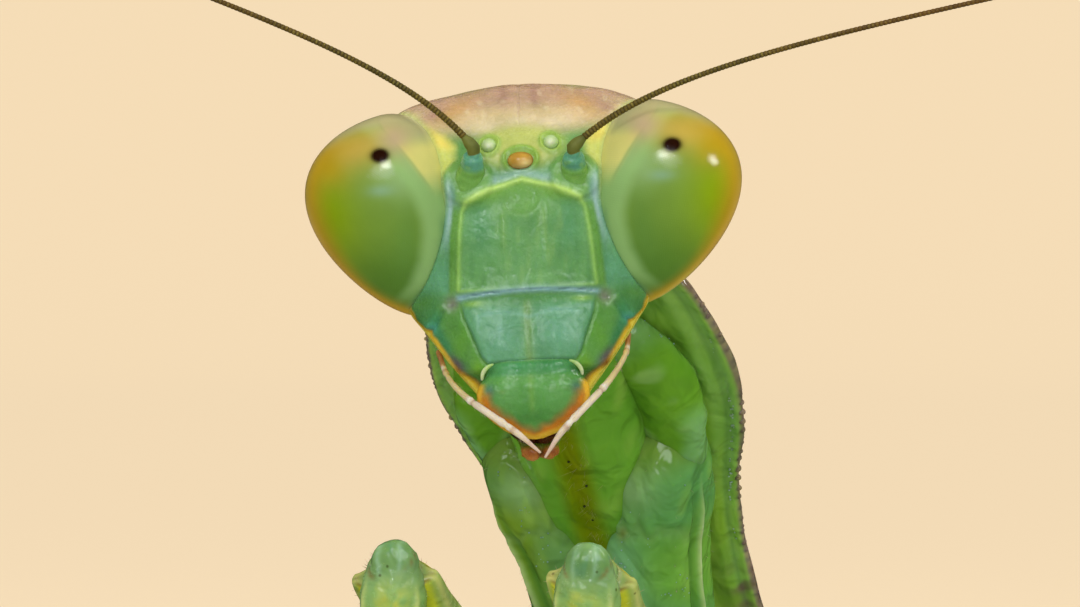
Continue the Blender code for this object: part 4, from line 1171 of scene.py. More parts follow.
def eye_paint(p, ball):
    """Colours of a compound eye, with painted shade low down, a painted reflection, and painted glow at its
    edges. p: places in the head's frame; ball: the same places on a unit sphere.
    """
    x, z = p[:, 0], p[:, 2]
    out, back, up = ball[:, 0], ball[:, 1], ball[:, 2]
    reach = x - np.interp(z, *EYE_EDGE)
    seam = reach - 0.235 * np.clip(z - 0.25, 0, 2)
    depth = 0.74 - 0.16 * ease(0.1, -0.7, up)
    rim = ease(-depth, 0.40 - depth, back) * ease(0.8, 0.3, back)
    low = ease(-0.38, -0.06, back) * ease(0.8, 0.3, back)
    edge = ease(-0.46, -0.10, back) * ease(0.8, 0.3, back) * ease(0.50, 0.05, up)
    return layered(
        blank(x.shape, (126, 162, 62)),
        # Darker green over the lower half: partly the eye's colour, partly painted shade under the light from
        # above
        (94, 138, 48, ease(0.35, -0.95, z) * 0.95),
        (140, 170, 80, 0.7 * spot(x, z, (3.20, 1.15), (0.55, 0.45))),
        (142, 168, 8, 0.95 * spot(x, z, (3.98, 0.50), (0.60, 1.20), -6)),
        (106, 152, 66, 0.6 * spot(x, z, (2.42, -0.10), (0.30, 0.90), 6)),
        (162, 198, 130, 0.8 * spot(x, z, (2.42, 1.28), (0.48, 0.52))),
        # Soft bluish patch below the false pupil: a painted reflection of a soft lamp
        (156, 198, 180, 0.40 * spot(x, z, (2.90, 0.96), (0.26, 0.12))),
        (164, 206, 126, 0.85 * ease(0.58, 0.24, seam) * ease(-1.55, -0.9, z)),
        # Paler along the inner edge at the top: painted glow of light through the eye's edge
        (184, 192, 134, 0.40 * ease(0.40, 0.10, seam) * ease(0.9, 1.8, z)),
        (250, 236, 136, 0.80 * ease(0.10, -0.10, seam) * ease(0.7, 1.4, z) * ease(2.20, 1.75, z)),
        (198, 182, 138, 0.60 * ease(0.10, -0.10, seam) * ease(1.8, 2.2, z)),
        (126, 164, 96, 0.35 * hump(seam, 0.035) * ease(0.7, 1.2, z)),
        (112, 164, 104, 0.6 * hump(reach, 0.08) * ease(0.6, 0.1, z)),
        (206, 174, 78, 0.92 * spot(x, z, (3.40, 1.86), (0.95, 0.42), -14)),
        (186, 158, 22, 0.80 * spot(x, z, (4.00, 1.56), (0.32, 0.48), -35)),
        (208, 184, 116, 0.50 * spot(x, z, (3.92, 2.06), (0.40, 0.24), -35)),
        (202, 188, 132, 0.85 * ease(0.84, 0.97, up)),
        (206, 176, 142, 0.75 * spot(x, z, (2.58, 2.02), (0.30, 0.28))),
        # Ochre and yellow bands where the eye turns side-on, seen from the front: partly the eye's colour,
        # partly a painted rim glow
        (194, 156, 10, 0.95 * rim * ease(-0.05, 0.40, out) * ease(0.94, 0.74, up)),
        (206, 164, 26, 0.9 * low * ease(0.30, -0.05, up) * ease(-0.75, -0.45, out)),
        (246, 190, 50, 0.80 * edge * ease(-0.2, 0.35, out)),
        (124, 132, 48, ease(0.45, 0.85, back)),
    )


PUPILS = {"left": (3.15, 1.58), "right": (2.89, 1.69)}
PUPIL_HALF_WIDTH, PUPIL_HALF_HEIGHT = 0.215, 0.165
LENS_EDGE_STEPS, LOWEST_LENS, HIGHEST_LENS = 96, 0.0003, 0.0017
EYE_HIDDEN_PART = -0.80


def build_eyes():
    ball, faces, lens = geodesic(LENS_EDGE_STEPS)
    for side, sign in SIDES:
        lean = math.radians(EYE_LEAN)
        girth = 1 + EYE_BLUNTNESS * ball[:, 2]
        half = np.where(ball[:, 0] > 0, EYE_HALF_WIDTH_OUT * girth, EYE_HALF_WIDTH_IN)
        across, rise = ball[:, 0] * half, ball[:, 2] * EYE_HALF_LENGTH
        place = EYE_CENTRE + np.stack(
            [
                across * math.cos(lean) + rise * math.sin(lean),
                ball[:, 1] * EYE_HALF_DEPTH * girth,
                rise * math.cos(lean) - across * math.sin(lean),
            ],
            axis=1,
        )
        paint = eye_paint(place, ball)
        pupil = PUPILS[side]
        aside = (place[:, 0] - pupil[0]) / PUPIL_HALF_WIDTH
        reach = np.hypot(aside, (place[:, 2] - pupil[1]) / PUPIL_HALF_HEIGHT)
        forward = ball[:, 1] < 0
        dark = np.where(lens, ease(1.65, 0.75, reach), ease(1.20, 0.60, reach)) * forward
        paint = over(paint, (40, 14, 4), dark)
        paint = paint * np.where(lens, 1.05, 0.95)[:, None]
        normal = ball / np.array((EYE_HALF_WIDTH_OUT, EYE_HALF_DEPTH, EYE_HALF_LENGTH))
        normal /= np.linalg.norm(normal, axis=1, keepdims=True)
        rise = np.where(lens, RANDOM.uniform(LOWEST_LENS, HIGHEST_LENS, len(ball)), 0.0)
        place = place + normal * rise[:, None]
        kept = (ball[faces][:, :, 0] > EYE_HIDDEN_PART).any(axis=1)
        used, compact = np.unique(faces[kept], return_inverse=True)
        triangles = compact.reshape(-1, 3)
        if sign < 0:
            triangles = triangles[:, ::-1]
        piece = Piece()
        piece.points = [from_head(mirrored(place[used], sign))]
        piece.faces = triangles.tolist()
        piece.paint = [paint[used]]
        piece.build(f"compound_eye_{side}", LENS, f"eye_{side}").data.shade_flat()


def build_ocelli():
    for name, place, half in OCELLI:
        piece = Piece()
        polar = np.linspace(0.02, math.pi - 0.02, 40)[:, None]
        turn = np.linspace(0, 2 * math.pi, 56, endpoint=False)[None, :]
        x, y = np.sin(polar) * np.cos(turn), np.cos(polar) * np.ones_like(turn)
        z = np.sin(polar) * np.sin(turn)
        if name == "ocellus_middle":
            paint = layered(
                blank(x.shape, (190, 146, 58)),
                # Pale patch on the middle ocellus: a painted glassy highlight
                (232, 204, 140, 0.85 * spot(x, z, (0.35, -0.30), (0.5, 0.42))),
                (168, 96, 24, 0.8 * hump(np.hypot(x, z) - 0.90, 0.06)),
            )
        else:
            paint = blank(x.shape, (168, 196, 128))
            paint = over(paint, (222, 228, 196), 0.8 * spot(x, z, (0.0, 0.1), (0.6, 0.5)))
        piece.grid(from_head(np.array(place) + np.stack([x, y, z], axis=-1) * np.array(half)), paint)
        piece.build(name.replace("ocellus", "lens"), BEAD, name)


def feeler_route(side, sign):
    root_lean, far_lean, bend = FEELER_BENDS[side]
    count = 500
    step = FEELER_LENGTH / count
    place = SCAPE_TIPS[side] + np.array((0.0, -0.06, 0.14))
    points = [place.copy()]
    for i in range(count):
        reach = (i + 0.5) * step
        lean = math.radians(far_lean + (root_lean - far_lean) * math.exp(-reach / bend))
        sweep = 2 * FEELER_SWEEP_BACK * reach
        place = place + np.array((sign * math.sin(lean), sweep, math.cos(lean))) * step
        points.append(place.copy())
    return np.array(points)


def build_feeler_root(side, sign):
    root, tip = mirrored(SCAPE_BASE, sign), SCAPE_TIPS[side]
    piece = Piece()
    share = np.linspace(0, 1, 50)
    line = root + (tip - root) * share[:, None]
    places = (0, 0.20, 0.45, 0.62, 0.72, 0.84, 0.92, 1.0)
    radius = np.interp(share, places, (0.40, 0.37, 0.295, 0.245, 0.235, 0.225, 0.20, 0.13))
    points, radii = rounded(line, radius, 5)
    grid = tube_rings(points, radii, 64)
    along = lengthwise(len(points), 64)
    paint = layered(
        blank(along.shape, (122, 172, 80)),
        (96, 158, 124, ease(0.55, 0.72, along)),
        (100, 148, 62, 0.6 * hump(along - 0.52, 0.04)),
        (140, 184, 90, 0.5 * ease(0.3, 1.2, ripple(grid, 0.22, 22))),
    )
    piece.grid(from_head(raised(grid, 0.012 * ripple(grid, 0.30, 21))), paint)
    piece.build(f"feeler_root_{side}", FACE, f"scape_{side}")


# Rings of one joint of a feeler: share of its length, swelling and tone
JOINT_RINGS = ((0.0, 0.84, 0.45), (0.15, 0.97, 0.8), (0.5, 1.04, 1.15), (0.85, 0.97, 0.9))


def feeler_joints():
    """Rings of the whip's many joints: place along it, radius and tone, four rings for each joint."""
    starts = np.cumsum(np.linspace(0.075, 0.125, 260))
    starts = starts[starts < FEELER_LENGTH - 0.1]
    rows = []
    for at, ahead in zip(starts, starts[1:]):
        width = np.interp(at, (0, 0.6, 3.0, 12.0, 25.0), (0.088, 0.074, 0.060, 0.048, 0.030))
        for share, swell, tone in JOINT_RINGS:
            rows.append((at + (ahead - at) * share, width * swell, tone))
    return np.array(rows).T


def build_whip(side, sign):
    tip = SCAPE_TIPS[side]
    piece = Piece()
    route = feeler_route(side, sign)
    knee = np.concatenate([[tip + (route[0] - tip) * t for t in (-0.5, 0.0, 0.5)], route[0:6]])
    widths = np.interp(np.linspace(0, 1, 9), (0, 0.35, 0.75, 1), (0.115, 0.142, 0.125, 0.088))
    pedicel, widths = rounded(knee, widths, 4)
    piece.grid(from_head(tube_rings(pedicel, widths, 24)), srgb(104, 110, 44))
    sides = 10
    keys, radii, tones = feeler_joints()
    gone = np.linspace(0, FEELER_LENGTH, len(route))
    line = np.stack([np.interp(keys, gone, route[:, k]) for k in range(3)], axis=1)
    grid = tube_rings(line, radii, sides)
    tone, far = (column[:, None] * np.ones((1, sides)) for column in (tones, keys))
    dots = RANDOM.random(grid.shape[:2]) > 0.72
    paint = layered(
        blank(tone.shape, (98, 82, 22)) * tone[..., None],
        (158, 146, 62, 0.55 * dots * (tone > 1)),
        (112, 66, 24, 0.5 * ease(2.0, 9.0, far)),
    )
    piece.grid(from_head(grid), paint)
    piece.build(f"whip_{side}", FEELER, f"feeler_{side}_base", f"feeler_{side}_tip")


# ---------------------------------------------------------------- prothorax and neck


def long_rings(stations, rows, columns, section, columns_of=(0, 1), sharp=False):
    """The table's rows and a grid of rings over a part. section makes one ring from a row of the table,
    and a sharp part keeps the corners of its outline instead of a smooth curve."""
    table = resample(stations, even_keys(stations, rows, columns_of))
    if sharp:
        source = np.array(stations)
        gone = gone_along(source[:, columns_of])
        steps = np.linspace(0, gone[-1], rows)
        table = np.stack([np.interp(steps, gone, column) for column in source.T], axis=1)
    return table, np.array([section(row, columns) for row in table])


def oval(width, rise, fall, power, count):
    return ring(width, fall, rise, power, shares_of_ring(count))


def body_section(power):
    """Makes a ring from a row that holds: place along the body, half width, top, bottom."""

    def section(row, count):
        half = (row[2] - row[3]) / 2
        x, z = oval(row[1], half, half, power, count)
        return np.stack([x, np.full(count, row[0]), (row[2] + row[3]) / 2 + z], axis=1)

    return section


def build_pronotum():
    def section(row, count):
        x, z = oval(row[1], row[2], row[3], PRONOTUM_POWER, count)
        return np.stack([x, np.full(count, row[0]), z], axis=1)

    piece = Piece()
    table, grid = long_rings(PRONOTUM_STATIONS, 300, 240, section)
    x, y, z = axes_of(grid)
    side = np.abs(x)
    edge = side / np.maximum(table[:, 1][:, None], 0.05)
    under = z < 0
    folds = ripple(grid * (1.6, 0.6, 1.0), 0.9, 34)
    lift = 0.035 * ripple(grid, 2.4, 31) + 0.012 * ripple(grid, 0.8, 32)
    lift -= 0.05 * hump(edge - 0.88, 0.04) * (z > 0)
    lift -= 0.10 * hump(y - 6.6 - 0.22 * x * x, 0.22) * (z > 0) * ease(0.95, 0.7, edge)
    lift += 0.10 * hump(x, 0.16) * (z > 0) * ease(7.2, 8.5, y)
    lift -= 0.06 * hump(x, 0.05) * (z > 0) * ease(6.4, 5.4, y)
    brim = 0.05 * hump(edge - 0.80, 0.05) + 0.05 * hump(edge - 0.965, 0.03)
    lift += under * (brim - 0.04 * hump(edge - 0.91, 0.04))
    lift += under * 0.030 * folds * ease(0.78, 0.6, edge)
    patches = ease(0.2, 0.9, clouds(grid, 3.0, 33))
    above = over(blank(x.shape, (106, 158, 48)), (92, 146, 60), patches)
    # The underside is painted lighter than the top: painted light on the side turned down and away from the
    # lamps
    below = over(blank(x.shape, (140, 184, 48)), (126, 178, 68), patches)
    bruise = spot(side, y, (2.28, 10.4), (0.36, 0.7)) * ease(-0.6, 0.6, ripple(grid, 0.5, 37)) * under
    pale = hump(edge - 0.82 + 0.015 * ripple(grid, 1.3, 35), 0.055) * ease(8.5, 6.0, y)
    paint = layered(
        np.where(under[..., None], below, above),
        (156, 190, 76, 0.5 * ease(0.3, 1.3, folds) * ease(0.85, 0.7, edge)),
        (146, 192, 96, 0.60 * pale),
        # Brighter still on the underside of the flanges: painted light where they face away from the lamps
        (160, 202, 96, 0.6 * under * ease(0.83, 0.90, edge)),
        (134, 182, 110, 0.5 * hump(edge - 0.93, 0.03) * ease(9.0, 6.0, y)),
        (88, 140, 66, 0.5 * hump(edge - 0.89, 0.02)),
        (146, 130, 104, 0.95 * ease(0.966, 0.984, edge)),
        (124, 94, 84, 0.6 * ease(0.982, 0.994, edge) * ease(-0.2, 0.9, ripple(grid, 0.6, 36))),
        (116, 84, 84, 0.9 * bruise),
        (150, 186, 80, 0.45 * under * ease(6.0, 8.5, y) * ease(0.9, 0.7, edge)),
    )
    piece.grid(from_prothorax(raised(grid, lift)), paint)
    add_edge_knobs(piece)
    piece.build("neck_shield", WET, "pronotum")


FIRST_KNOB, LAST_KNOB, KNOB_DEPTH, KNOB_LOOK_AHEAD = 0.6, 20.6, 0.09, 0.05
RIM_BEADS, BREAST_HAIRS = 60, 170


def add_edge_knobs(piece):
    """Uneven knobs along both edges of the shield, and pale beads under its rim."""
    for _, sign in SIDES:
        at = FIRST_KNOB
        while at < LAST_KNOB:
            row = resample(PRONOTUM_STATIONS, [at])[0]
            near = resample(PRONOTUM_STATIONS, [at + KNOB_LOOK_AHEAD])[0]
            slope = (near[1] - row[1]) / KNOB_LOOK_AHEAD
            out = np.array((1.0, -slope, 0.0)) / math.hypot(1, slope)
            tall = RANDOM.uniform(0.008, 0.045) * (0.7 + 0.7 * hump(at - 2.4, 2.4))
            root = np.array((row[1] - KNOB_DEPTH, at + KNOB_DEPTH * slope, 0.0))
            off = np.array((0.0, RANDOM.uniform(-0.01, 0.03), RANDOM.uniform(-0.02, 0.02)))
            tip = root + out * (KNOB_DEPTH + tall) + off
            wide = RANDOM.uniform(0.06, 0.10)
            line = np.array([root, root + (tip - root) * 0.6, root + (tip - root) * 0.9, tip])
            knob = tube_rings(line, (wide, wide * 0.85, wide * 0.5, wide * 0.12), 9)
            piece.grid(from_prothorax(mirrored(knob, sign)), srgb(150, 128, 104))
            at += RANDOM.uniform(0.13, 0.34)
        for _ in range(RIM_BEADS):
            at = RANDOM.uniform(2.5, 9.0)
            row = resample(PRONOTUM_STATIONS, [at])[0]
            root = np.array((row[1] * RANDOM.normal(0.925, 0.008), at, -0.075))
            line = np.array([root + (0, 0, 0.02), root, root - (0, 0, 0.022)])
            ball = tube_rings(line, (0.026, 0.024, 0.006), 6)
            piece.grid(from_prothorax(mirrored(ball, sign)), srgb(176, 206, 160))


def build_breast():
    piece = Piece()
    _, grid = long_rings(PROSTERNUM_STATIONS, 200, 140, body_section(BODY_POWER))
    x, y, _ = axes_of(grid)
    side_grooves = 0.04 * hump(np.abs(x) - 0.55, 0.06) * ease(6.0, 4.0, y)
    lift = 0.03 * ripple(grid, 1.6, 41) - 0.05 * hump(x, 0.12) - side_grooves
    lift -= 0.05 * hump(y - 7.5 - 0.3 * x * x, 0.15)
    folds = ripple(grid * (1.3, 0.5, 1.0), 0.8, 45)
    lift = lift + 0.035 * folds * ease(0.2, 0.7, np.abs(x))
    paint = layered(
        blank(x.shape, (122, 144, 0)),
        (116, 176, 54, ease(0.14, 0.62, np.abs(x - 0.08))),
        (140, 142, 8, 0.35 * hump(x - 0.12, 0.16)),
        # Paler on the crests of the folds: painted highlight, standing in for wet glints along them
        (156, 192, 84, 0.45 * ease(0.3, 1.2, folds) * ease(0.2, 0.7, np.abs(x))),
    )
    piece.grid(from_prothorax(raised(grid, lift)), paint)
    for _ in range(BREAST_HAIRS):
        at = RANDOM.uniform(1.6, 10.0)
        row = resample(PROSTERNUM_STATIONS, [at])[0]
        across = RANDOM.normal(0.25, 0.16)
        root = np.array((across, at, row[3] + 0.04 + 0.25 * (across / row[1]) ** 2))
        off = (RANDOM.normal(0, 0.10), RANDOM.uniform(0.02, 0.12), -RANDOM.uniform(0.10, 0.18))
        tip = root + np.array(off)
        piece.hair(from_prothorax(root), from_prothorax(tip), 0.004, srgb(176, 172, 90))
    for across, at in ((0.05, 4.6), (0.30, 5.3), (0.12, 5.9), (-0.25, 3.9), (0.22, 6.3)):
        row = resample(PROSTERNUM_STATIONS, [at])[0]
        root = np.array((across, at, row[3] + 0.005))
        line = np.array([root + (0, 0, 0.03), root, root - (0, 0, 0.012)])
        piece.grid(from_prothorax(tube_rings(line, (0.03, 0.028, 0.008), 7)), srgb(40, 44, 12))
    piece.build("breast_plate", WET, "prosternum")


def build_neck():
    start, end = from_head((0.0, 1.30, -0.45)), from_prothorax((0.0, 1.60, -0.85))
    line = start + (end - start) * np.linspace(0, 1, 70)[:, None]
    points, radii = rounded(line, np.full(len(line), 1.03))
    radii = radii * (1 + 0.05 * np.sin(np.arange(len(radii)) * 0.9))
    piece = Piece()
    grid = tube_rings(points, radii, 90)
    patches = clouds(grid, 0.7, 43)
    piece.grid(grid, over(blank(patches.shape, (150, 160, 74)), (108, 130, 50), patches))
    piece.build("neck_skin", WET, "neck")


def build_shoulder_skins():
    """Soft wet skin between the neck shield and the top of each foreleg."""
    for side, sign in SIDES:
        places = [from_prothorax(p) for p in ((0.9, 1.5, -0.8), (1.5, 2.4, -0.75), (2.0, 3.6, -0.65))]
        route = smooth_route([*places, FORE_HIP + np.array((0.70, 0.25, -0.55))], 140)
        radius = np.interp(np.linspace(0, 1, len(route)), (0, 0.4, 0.75, 1), (0.46, 0.72, 0.80, 0.70))
        points, radii = rounded(route, radius)
        grid = tube_rings(points, radii, 110, up=np.array((0.0, -1.0, 0.0)), squash=0.8)
        folds, lumps = ripple(grid * (0.8, 1.0, 1.3), 1.0, 46), ripple(grid, 2.0, 47)
        grid = raised(grid, 0.05 * lumps + 0.022 * folds)
        paint = layered(
            blank(folds.shape, (112, 168, 44)),
            # Paler on the lumps and fold crests and darker in the fold troughs: painted light and shade
            (134, 188, 112, ease(-0.2, 0.9, lumps)),
            (160, 200, 120, 0.5 * ease(0.4, 1.3, folds)),
            (96, 150, 44, 0.4 * ease(-0.4, -1.3, folds)),
        )
        piece = Piece()
        skin = mirrored(grid, sign)
        piece.grid(skin, paint)
        add_pimples(piece, skin, (skin[..., 1] < skin[..., 1].mean()) & (lumps > 0.2), 40)
        piece.build(f"shoulder_skin_{side}", WET)


# ---------------------------------------------------------------- forelegs


def limb_basis(start, end, up):
    """Start of a limb, and its directions across, along and up."""
    along = (end - start) / np.linalg.norm(end - start)
    across = np.cross(along, up)
    across /= np.linalg.norm(across)
    return start, np.stack([across, along, np.cross(across, along)])


def from_limb(points, basis):
    return np.asarray(points) @ basis[1] + basis[0]


def limb_grid(stations, outward, rows, columns, power, sharp=False):
    def section(row, count):
        squareness = np.interp(row[0], *power) if np.ndim(power) else power
        x, z = oval(row[2], row[3], row[4], squareness, count)
        return np.stack([x + row[1] * outward, np.full(count, row[0]), z], axis=1)

    return long_rings(stations, rows, columns, section, (0, 2), sharp)


def add_bristles(piece, grid, rows, count, length, rgb, radius=0.005):
    """Fine hairs standing on the surface of a grid, leaning along it, between two of its rows."""
    normal = grid_normals(grid)
    for _ in range(count):
        i = int(RANDOM.integers(rows[0], rows[1]))
        j = int(RANDOM.integers(0, grid.shape[1]))
        ahead = grid[min(i + 1, len(grid) - 1), j] - grid[max(i - 1, 0), j]
        ahead = ahead / max(np.linalg.norm(ahead), 1e-9)
        tall = length * RANDOM.uniform(0.5, 1.0)
        root = grid[i, j] - normal[i, j] * 0.01
        tip = root + normal[i, j] * tall + ahead * tall * 0.5
        piece.hair(root, tip, radius, srgb(*rgb))


def add_pimples(piece, grid, where, count):
    """Small shiny bumps standing in a grid where an array says, painted pale bluish white as their glints:
    painted highlights.
    """
    normal = grid_normals(grid)
    places = np.argwhere(where)
    for at in RANDOM.integers(0, len(places), count):
        place, out = grid[tuple(places[at])], normal[tuple(places[at])]
        wide = RANDOM.uniform(0.010, 0.024)
        line = np.array([place - out * wide, place + out * 0.5 * wide, place + out * wide])
        # Pale bluish white: painted glints on the bumps
        piece.grid(tube_rings(line, (wide, 0.9 * wide, 0.3 * wide), 6), srgb(158, 204, 178))


# Looks of the fore coxae: two greens, and how strong the pale bulge with its painted wet sheen and the brown
# scar are
COXA_LOOKS = {
    "left": ((122, 180, 68), (106, 168, 92), 0.95, 0.35),
    "right": ((124, 158, 30), (96, 144, 66), 0.40, 0.0),
}


def build_fore_coxa(side, sign, hip, elbow):
    basis = limb_basis(hip, elbow, mirrored(COXA_BACK, sign))
    table, grid = limb_grid(FORE_COXA_STATIONS, sign, 240, 180, COXA_POWER)
    x, y, z = axes_of(grid)
    x = x * sign - table[:, 1][:, None]
    width, depth = x / np.maximum(table[:, 2][:, None], 0.1), z / np.maximum(table[:, 4][:, None], 0.1)
    turn = np.arctan2(depth, width)
    front = ease(0.1, -0.3, depth)
    edge = 0.10 if side == "left" else -0.55 - 0.55 * ease(1.0, 7.0, y)
    folds = ripple(grid * (1.5, 0.6, 1.0), 0.8, 53)
    down = ease(0.8, 2.6, y) * ease(15, 13, y)
    outer_keel, inner_keel = down * hump(turn - edge, 0.050), front * down * hump(width + 0.90, 0.07)
    gutter = down * hump(turn - edge + 0.20, 0.09)
    lift = 0.03 * ripple(grid, 1.5, 51) + 0.022 * folds * ease(4.5, 1.0, y) + 0.008 * ripple(grid, 0.45, 52)
    lift = lift + 0.10 * outer_keel + 0.05 * inner_keel - 0.07 * gutter
    low_bulge = spot(width, y, (-0.05, 3.4), (0.45, 1.3))
    top_bulge = spot(width, y, (0.30, 1.0), (0.50, 0.55))
    lift = lift + 0.06 * front * low_bulge + 0.08 * front * top_bulge
    crease = y - 1.95 - 0.35 * width - 0.3 * folds
    low_crease = 0.05 * front * hump(y - 5.0 + 0.8 * width, 0.18) * ease(0.6, 0.0, width)
    lift = lift - 0.04 * front * hump(crease, 0.16) - low_crease
    green, other_green, glow, scar = COXA_LOOKS[side]
    paint = layered(
        over(blank(x.shape, green), other_green, ease(0.1, 0.9, clouds(grid, 2.6, 54))),
        # Pale bluish green on the low and top bulges: a painted wet sheen
        (136, 196, 142, glow * front * spot(width, y, (-0.05, 3.4), (0.50, 1.4))),
        (160, 200, 138, 0.7 * front * spot(width, y, (0.25, 1.0), (0.45, 0.5))),
        (140, 170, 26, 0.75 * front * ease(-0.55, -0.85, width)),
        # Paler on the crests of the folds near the top: painted highlight
        (152, 192, 84, 0.45 * ease(0.3, 1.3, folds) * ease(6.0, 2.0, y)),
        # Darker green in the gutter beside the outer keel: painted shade
        (84, 140, 50, 0.7 * gutter),
        (188, 210, 150, 0.85 * np.clip(outer_keel + 0.5 * inner_keel, 0, 1)),
        (146, 186, 108, 0.35 * hump(crease, 0.22) * front),
        (176, 136, 50, scar * spot(width, y, (0.0, 2.1), (0.10, 0.16)) * front),
        (128, 160, 62, 0.7 * ease(1.0, 0.2, y)),
    )
    piece = Piece()
    shaped = from_limb(raised(grid, lift), basis)
    piece.grid(shaped, paint)
    add_bristles(piece, shaped, (8, 232), 150, 0.11, (180, 180, 120))
    crowd = ripple(grid, 1.2, 55) + 0.5 * folds
    add_pimples(piece, shaped, (front > 0.8) & (y > 0.5) & (y < 7.0) & (crowd > 0.3), 80)
    for at in np.arange(3.0, 14.6, 0.62):
        row = resample(FORE_COXA_STATIONS, [at])[0]
        root = np.array((sign * (row[1] + row[2] * 0.86), at, -row[4] * 0.50))
        tip = root + np.array((sign * 0.10, 0.05, -0.10)) * RANDOM.uniform(0.7, 1.2)
        piece.hair(from_limb(root, basis), from_limb(tip, basis), 0.03, srgb(186, 190, 130), sides=6)
    piece.build(f"front_hip_{side}", WET, f"fore_coxa_{side}")


def build_fore_femur(side, sign, elbow, knee):
    basis = limb_basis(elbow, knee, FEMUR_BACK)
    squareness = ((0, 15.0, 16.8, 17.36, 17.44), (2.3, 2.3, 1.45, 1.25, 2.0))
    table, grid = limb_grid(FORE_FEMUR_STATIONS, sign, 340, 110, squareness, sharp=True)
    x, y, z = axes_of(grid)
    width = np.abs(x) / np.maximum(table[:, 2][:, None], 0.05)
    near_knee, cap = ease(14.6, 16.4, y), ease(17.36, 17.44, y)
    lift = 0.03 * ripple(grid, 1.8, 55) * ease(17.6, 16.0, y) + 0.006 * ripple(grid, 0.4, 56)
    lift = lift + 0.05 * hump(np.abs(x) - 0.62, 0.10) * (z < 0) * ease(1, 3, y) * ease(16.5, 15, y)
    lift = lift - 0.03 * cap * hump(y - 17.47, 0.03) + 0.04 * hump(width - 0.93, 0.06) * near_knee * (1 - cap)
    yellow = near_knee * (1 - cap) * ease(0.95, 0.75, width) * ease(1.3, 0.2, np.abs(z + 0.1))
    paint = layered(
        blank(x.shape, (112, 160, 70)),
        (132, 172, 96, near_knee),
        (214, 214, 40, 0.9 * yellow),
        (134, 170, 104, 0.95 * cap),
        (104, 158, 100, 0.5 * cap * ease(0.2, 1.0, ripple(grid, 0.4, 57))),
        (196, 190, 90, 0.6 * cap * hump(width - 0.75, 0.15) * ease(17.9, 17.5, y)),
        (196, 190, 132, 0.8 * cap * hump(y - 17.46, 0.035)),
        (150, 116, 66, 0.75 * hump(y - 17.37, 0.028) * ease(0.60, 0.75, width)),
        (200, 200, 120, 0.85 * hump(width - 0.95, 0.06) * near_knee * (1 - cap)),
    )
    piece = Piece()
    shaped = from_limb(raised(grid, lift), basis)
    piece.grid(shaped, paint)
    add_bristles(piece, shaped, (20, 300), 160, 0.12, (170, 160, 96))
    add_bristles(piece, shaped, (305, 339), 110, 0.13, (196, 172, 104), 0.006)
    add_femur_spines(piece, basis, np.linalg.norm(knee - elbow))
    piece.build(f"front_thigh_{side}", DOTTED, f"fore_femur_{side}")


def add_femur_spines(piece, basis, length):
    """Two rows of long dark-tipped spines, with a comb of short ones beside each."""
    share = np.linspace(0, 1, 12)
    for row in (-1, 1):
        for i, reach in enumerate(FEMUR_SPINE_LENGTHS):
            at = 3.6 + i * (length - 6.6) / len(FEMUR_SPINE_LENGTHS)
            root = np.array((row * 0.62, at, -0.55))
            tip = np.array((row * 0.86, at + 0.35, -0.95 - 0.75 * reach))
            line = root + (tip - root) * share[:, None]
            line[:, 1] += 0.10 * np.sin(np.linspace(0, math.pi, len(share)))
            thorn = tube_rings(line, 0.22 * (1 - np.linspace(0, 0.96, len(share))), 12)
            dark = ease(0.5, 0.9, lengthwise(len(share), 12))
            piece.grid(from_limb(thorn, basis), over(blank(dark.shape, (150, 170, 80)), (52, 30, 16), dark))
        for at in np.arange(3.2, 15.0, 0.42):
            root, tip = np.array((row * 0.66, at, -0.80)), np.array((row * 0.78, at + 0.10, -1.28))
            piece.hair(from_limb(root, basis), from_limb(tip, basis), 0.06, srgb(120, 110, 50), sides=6)


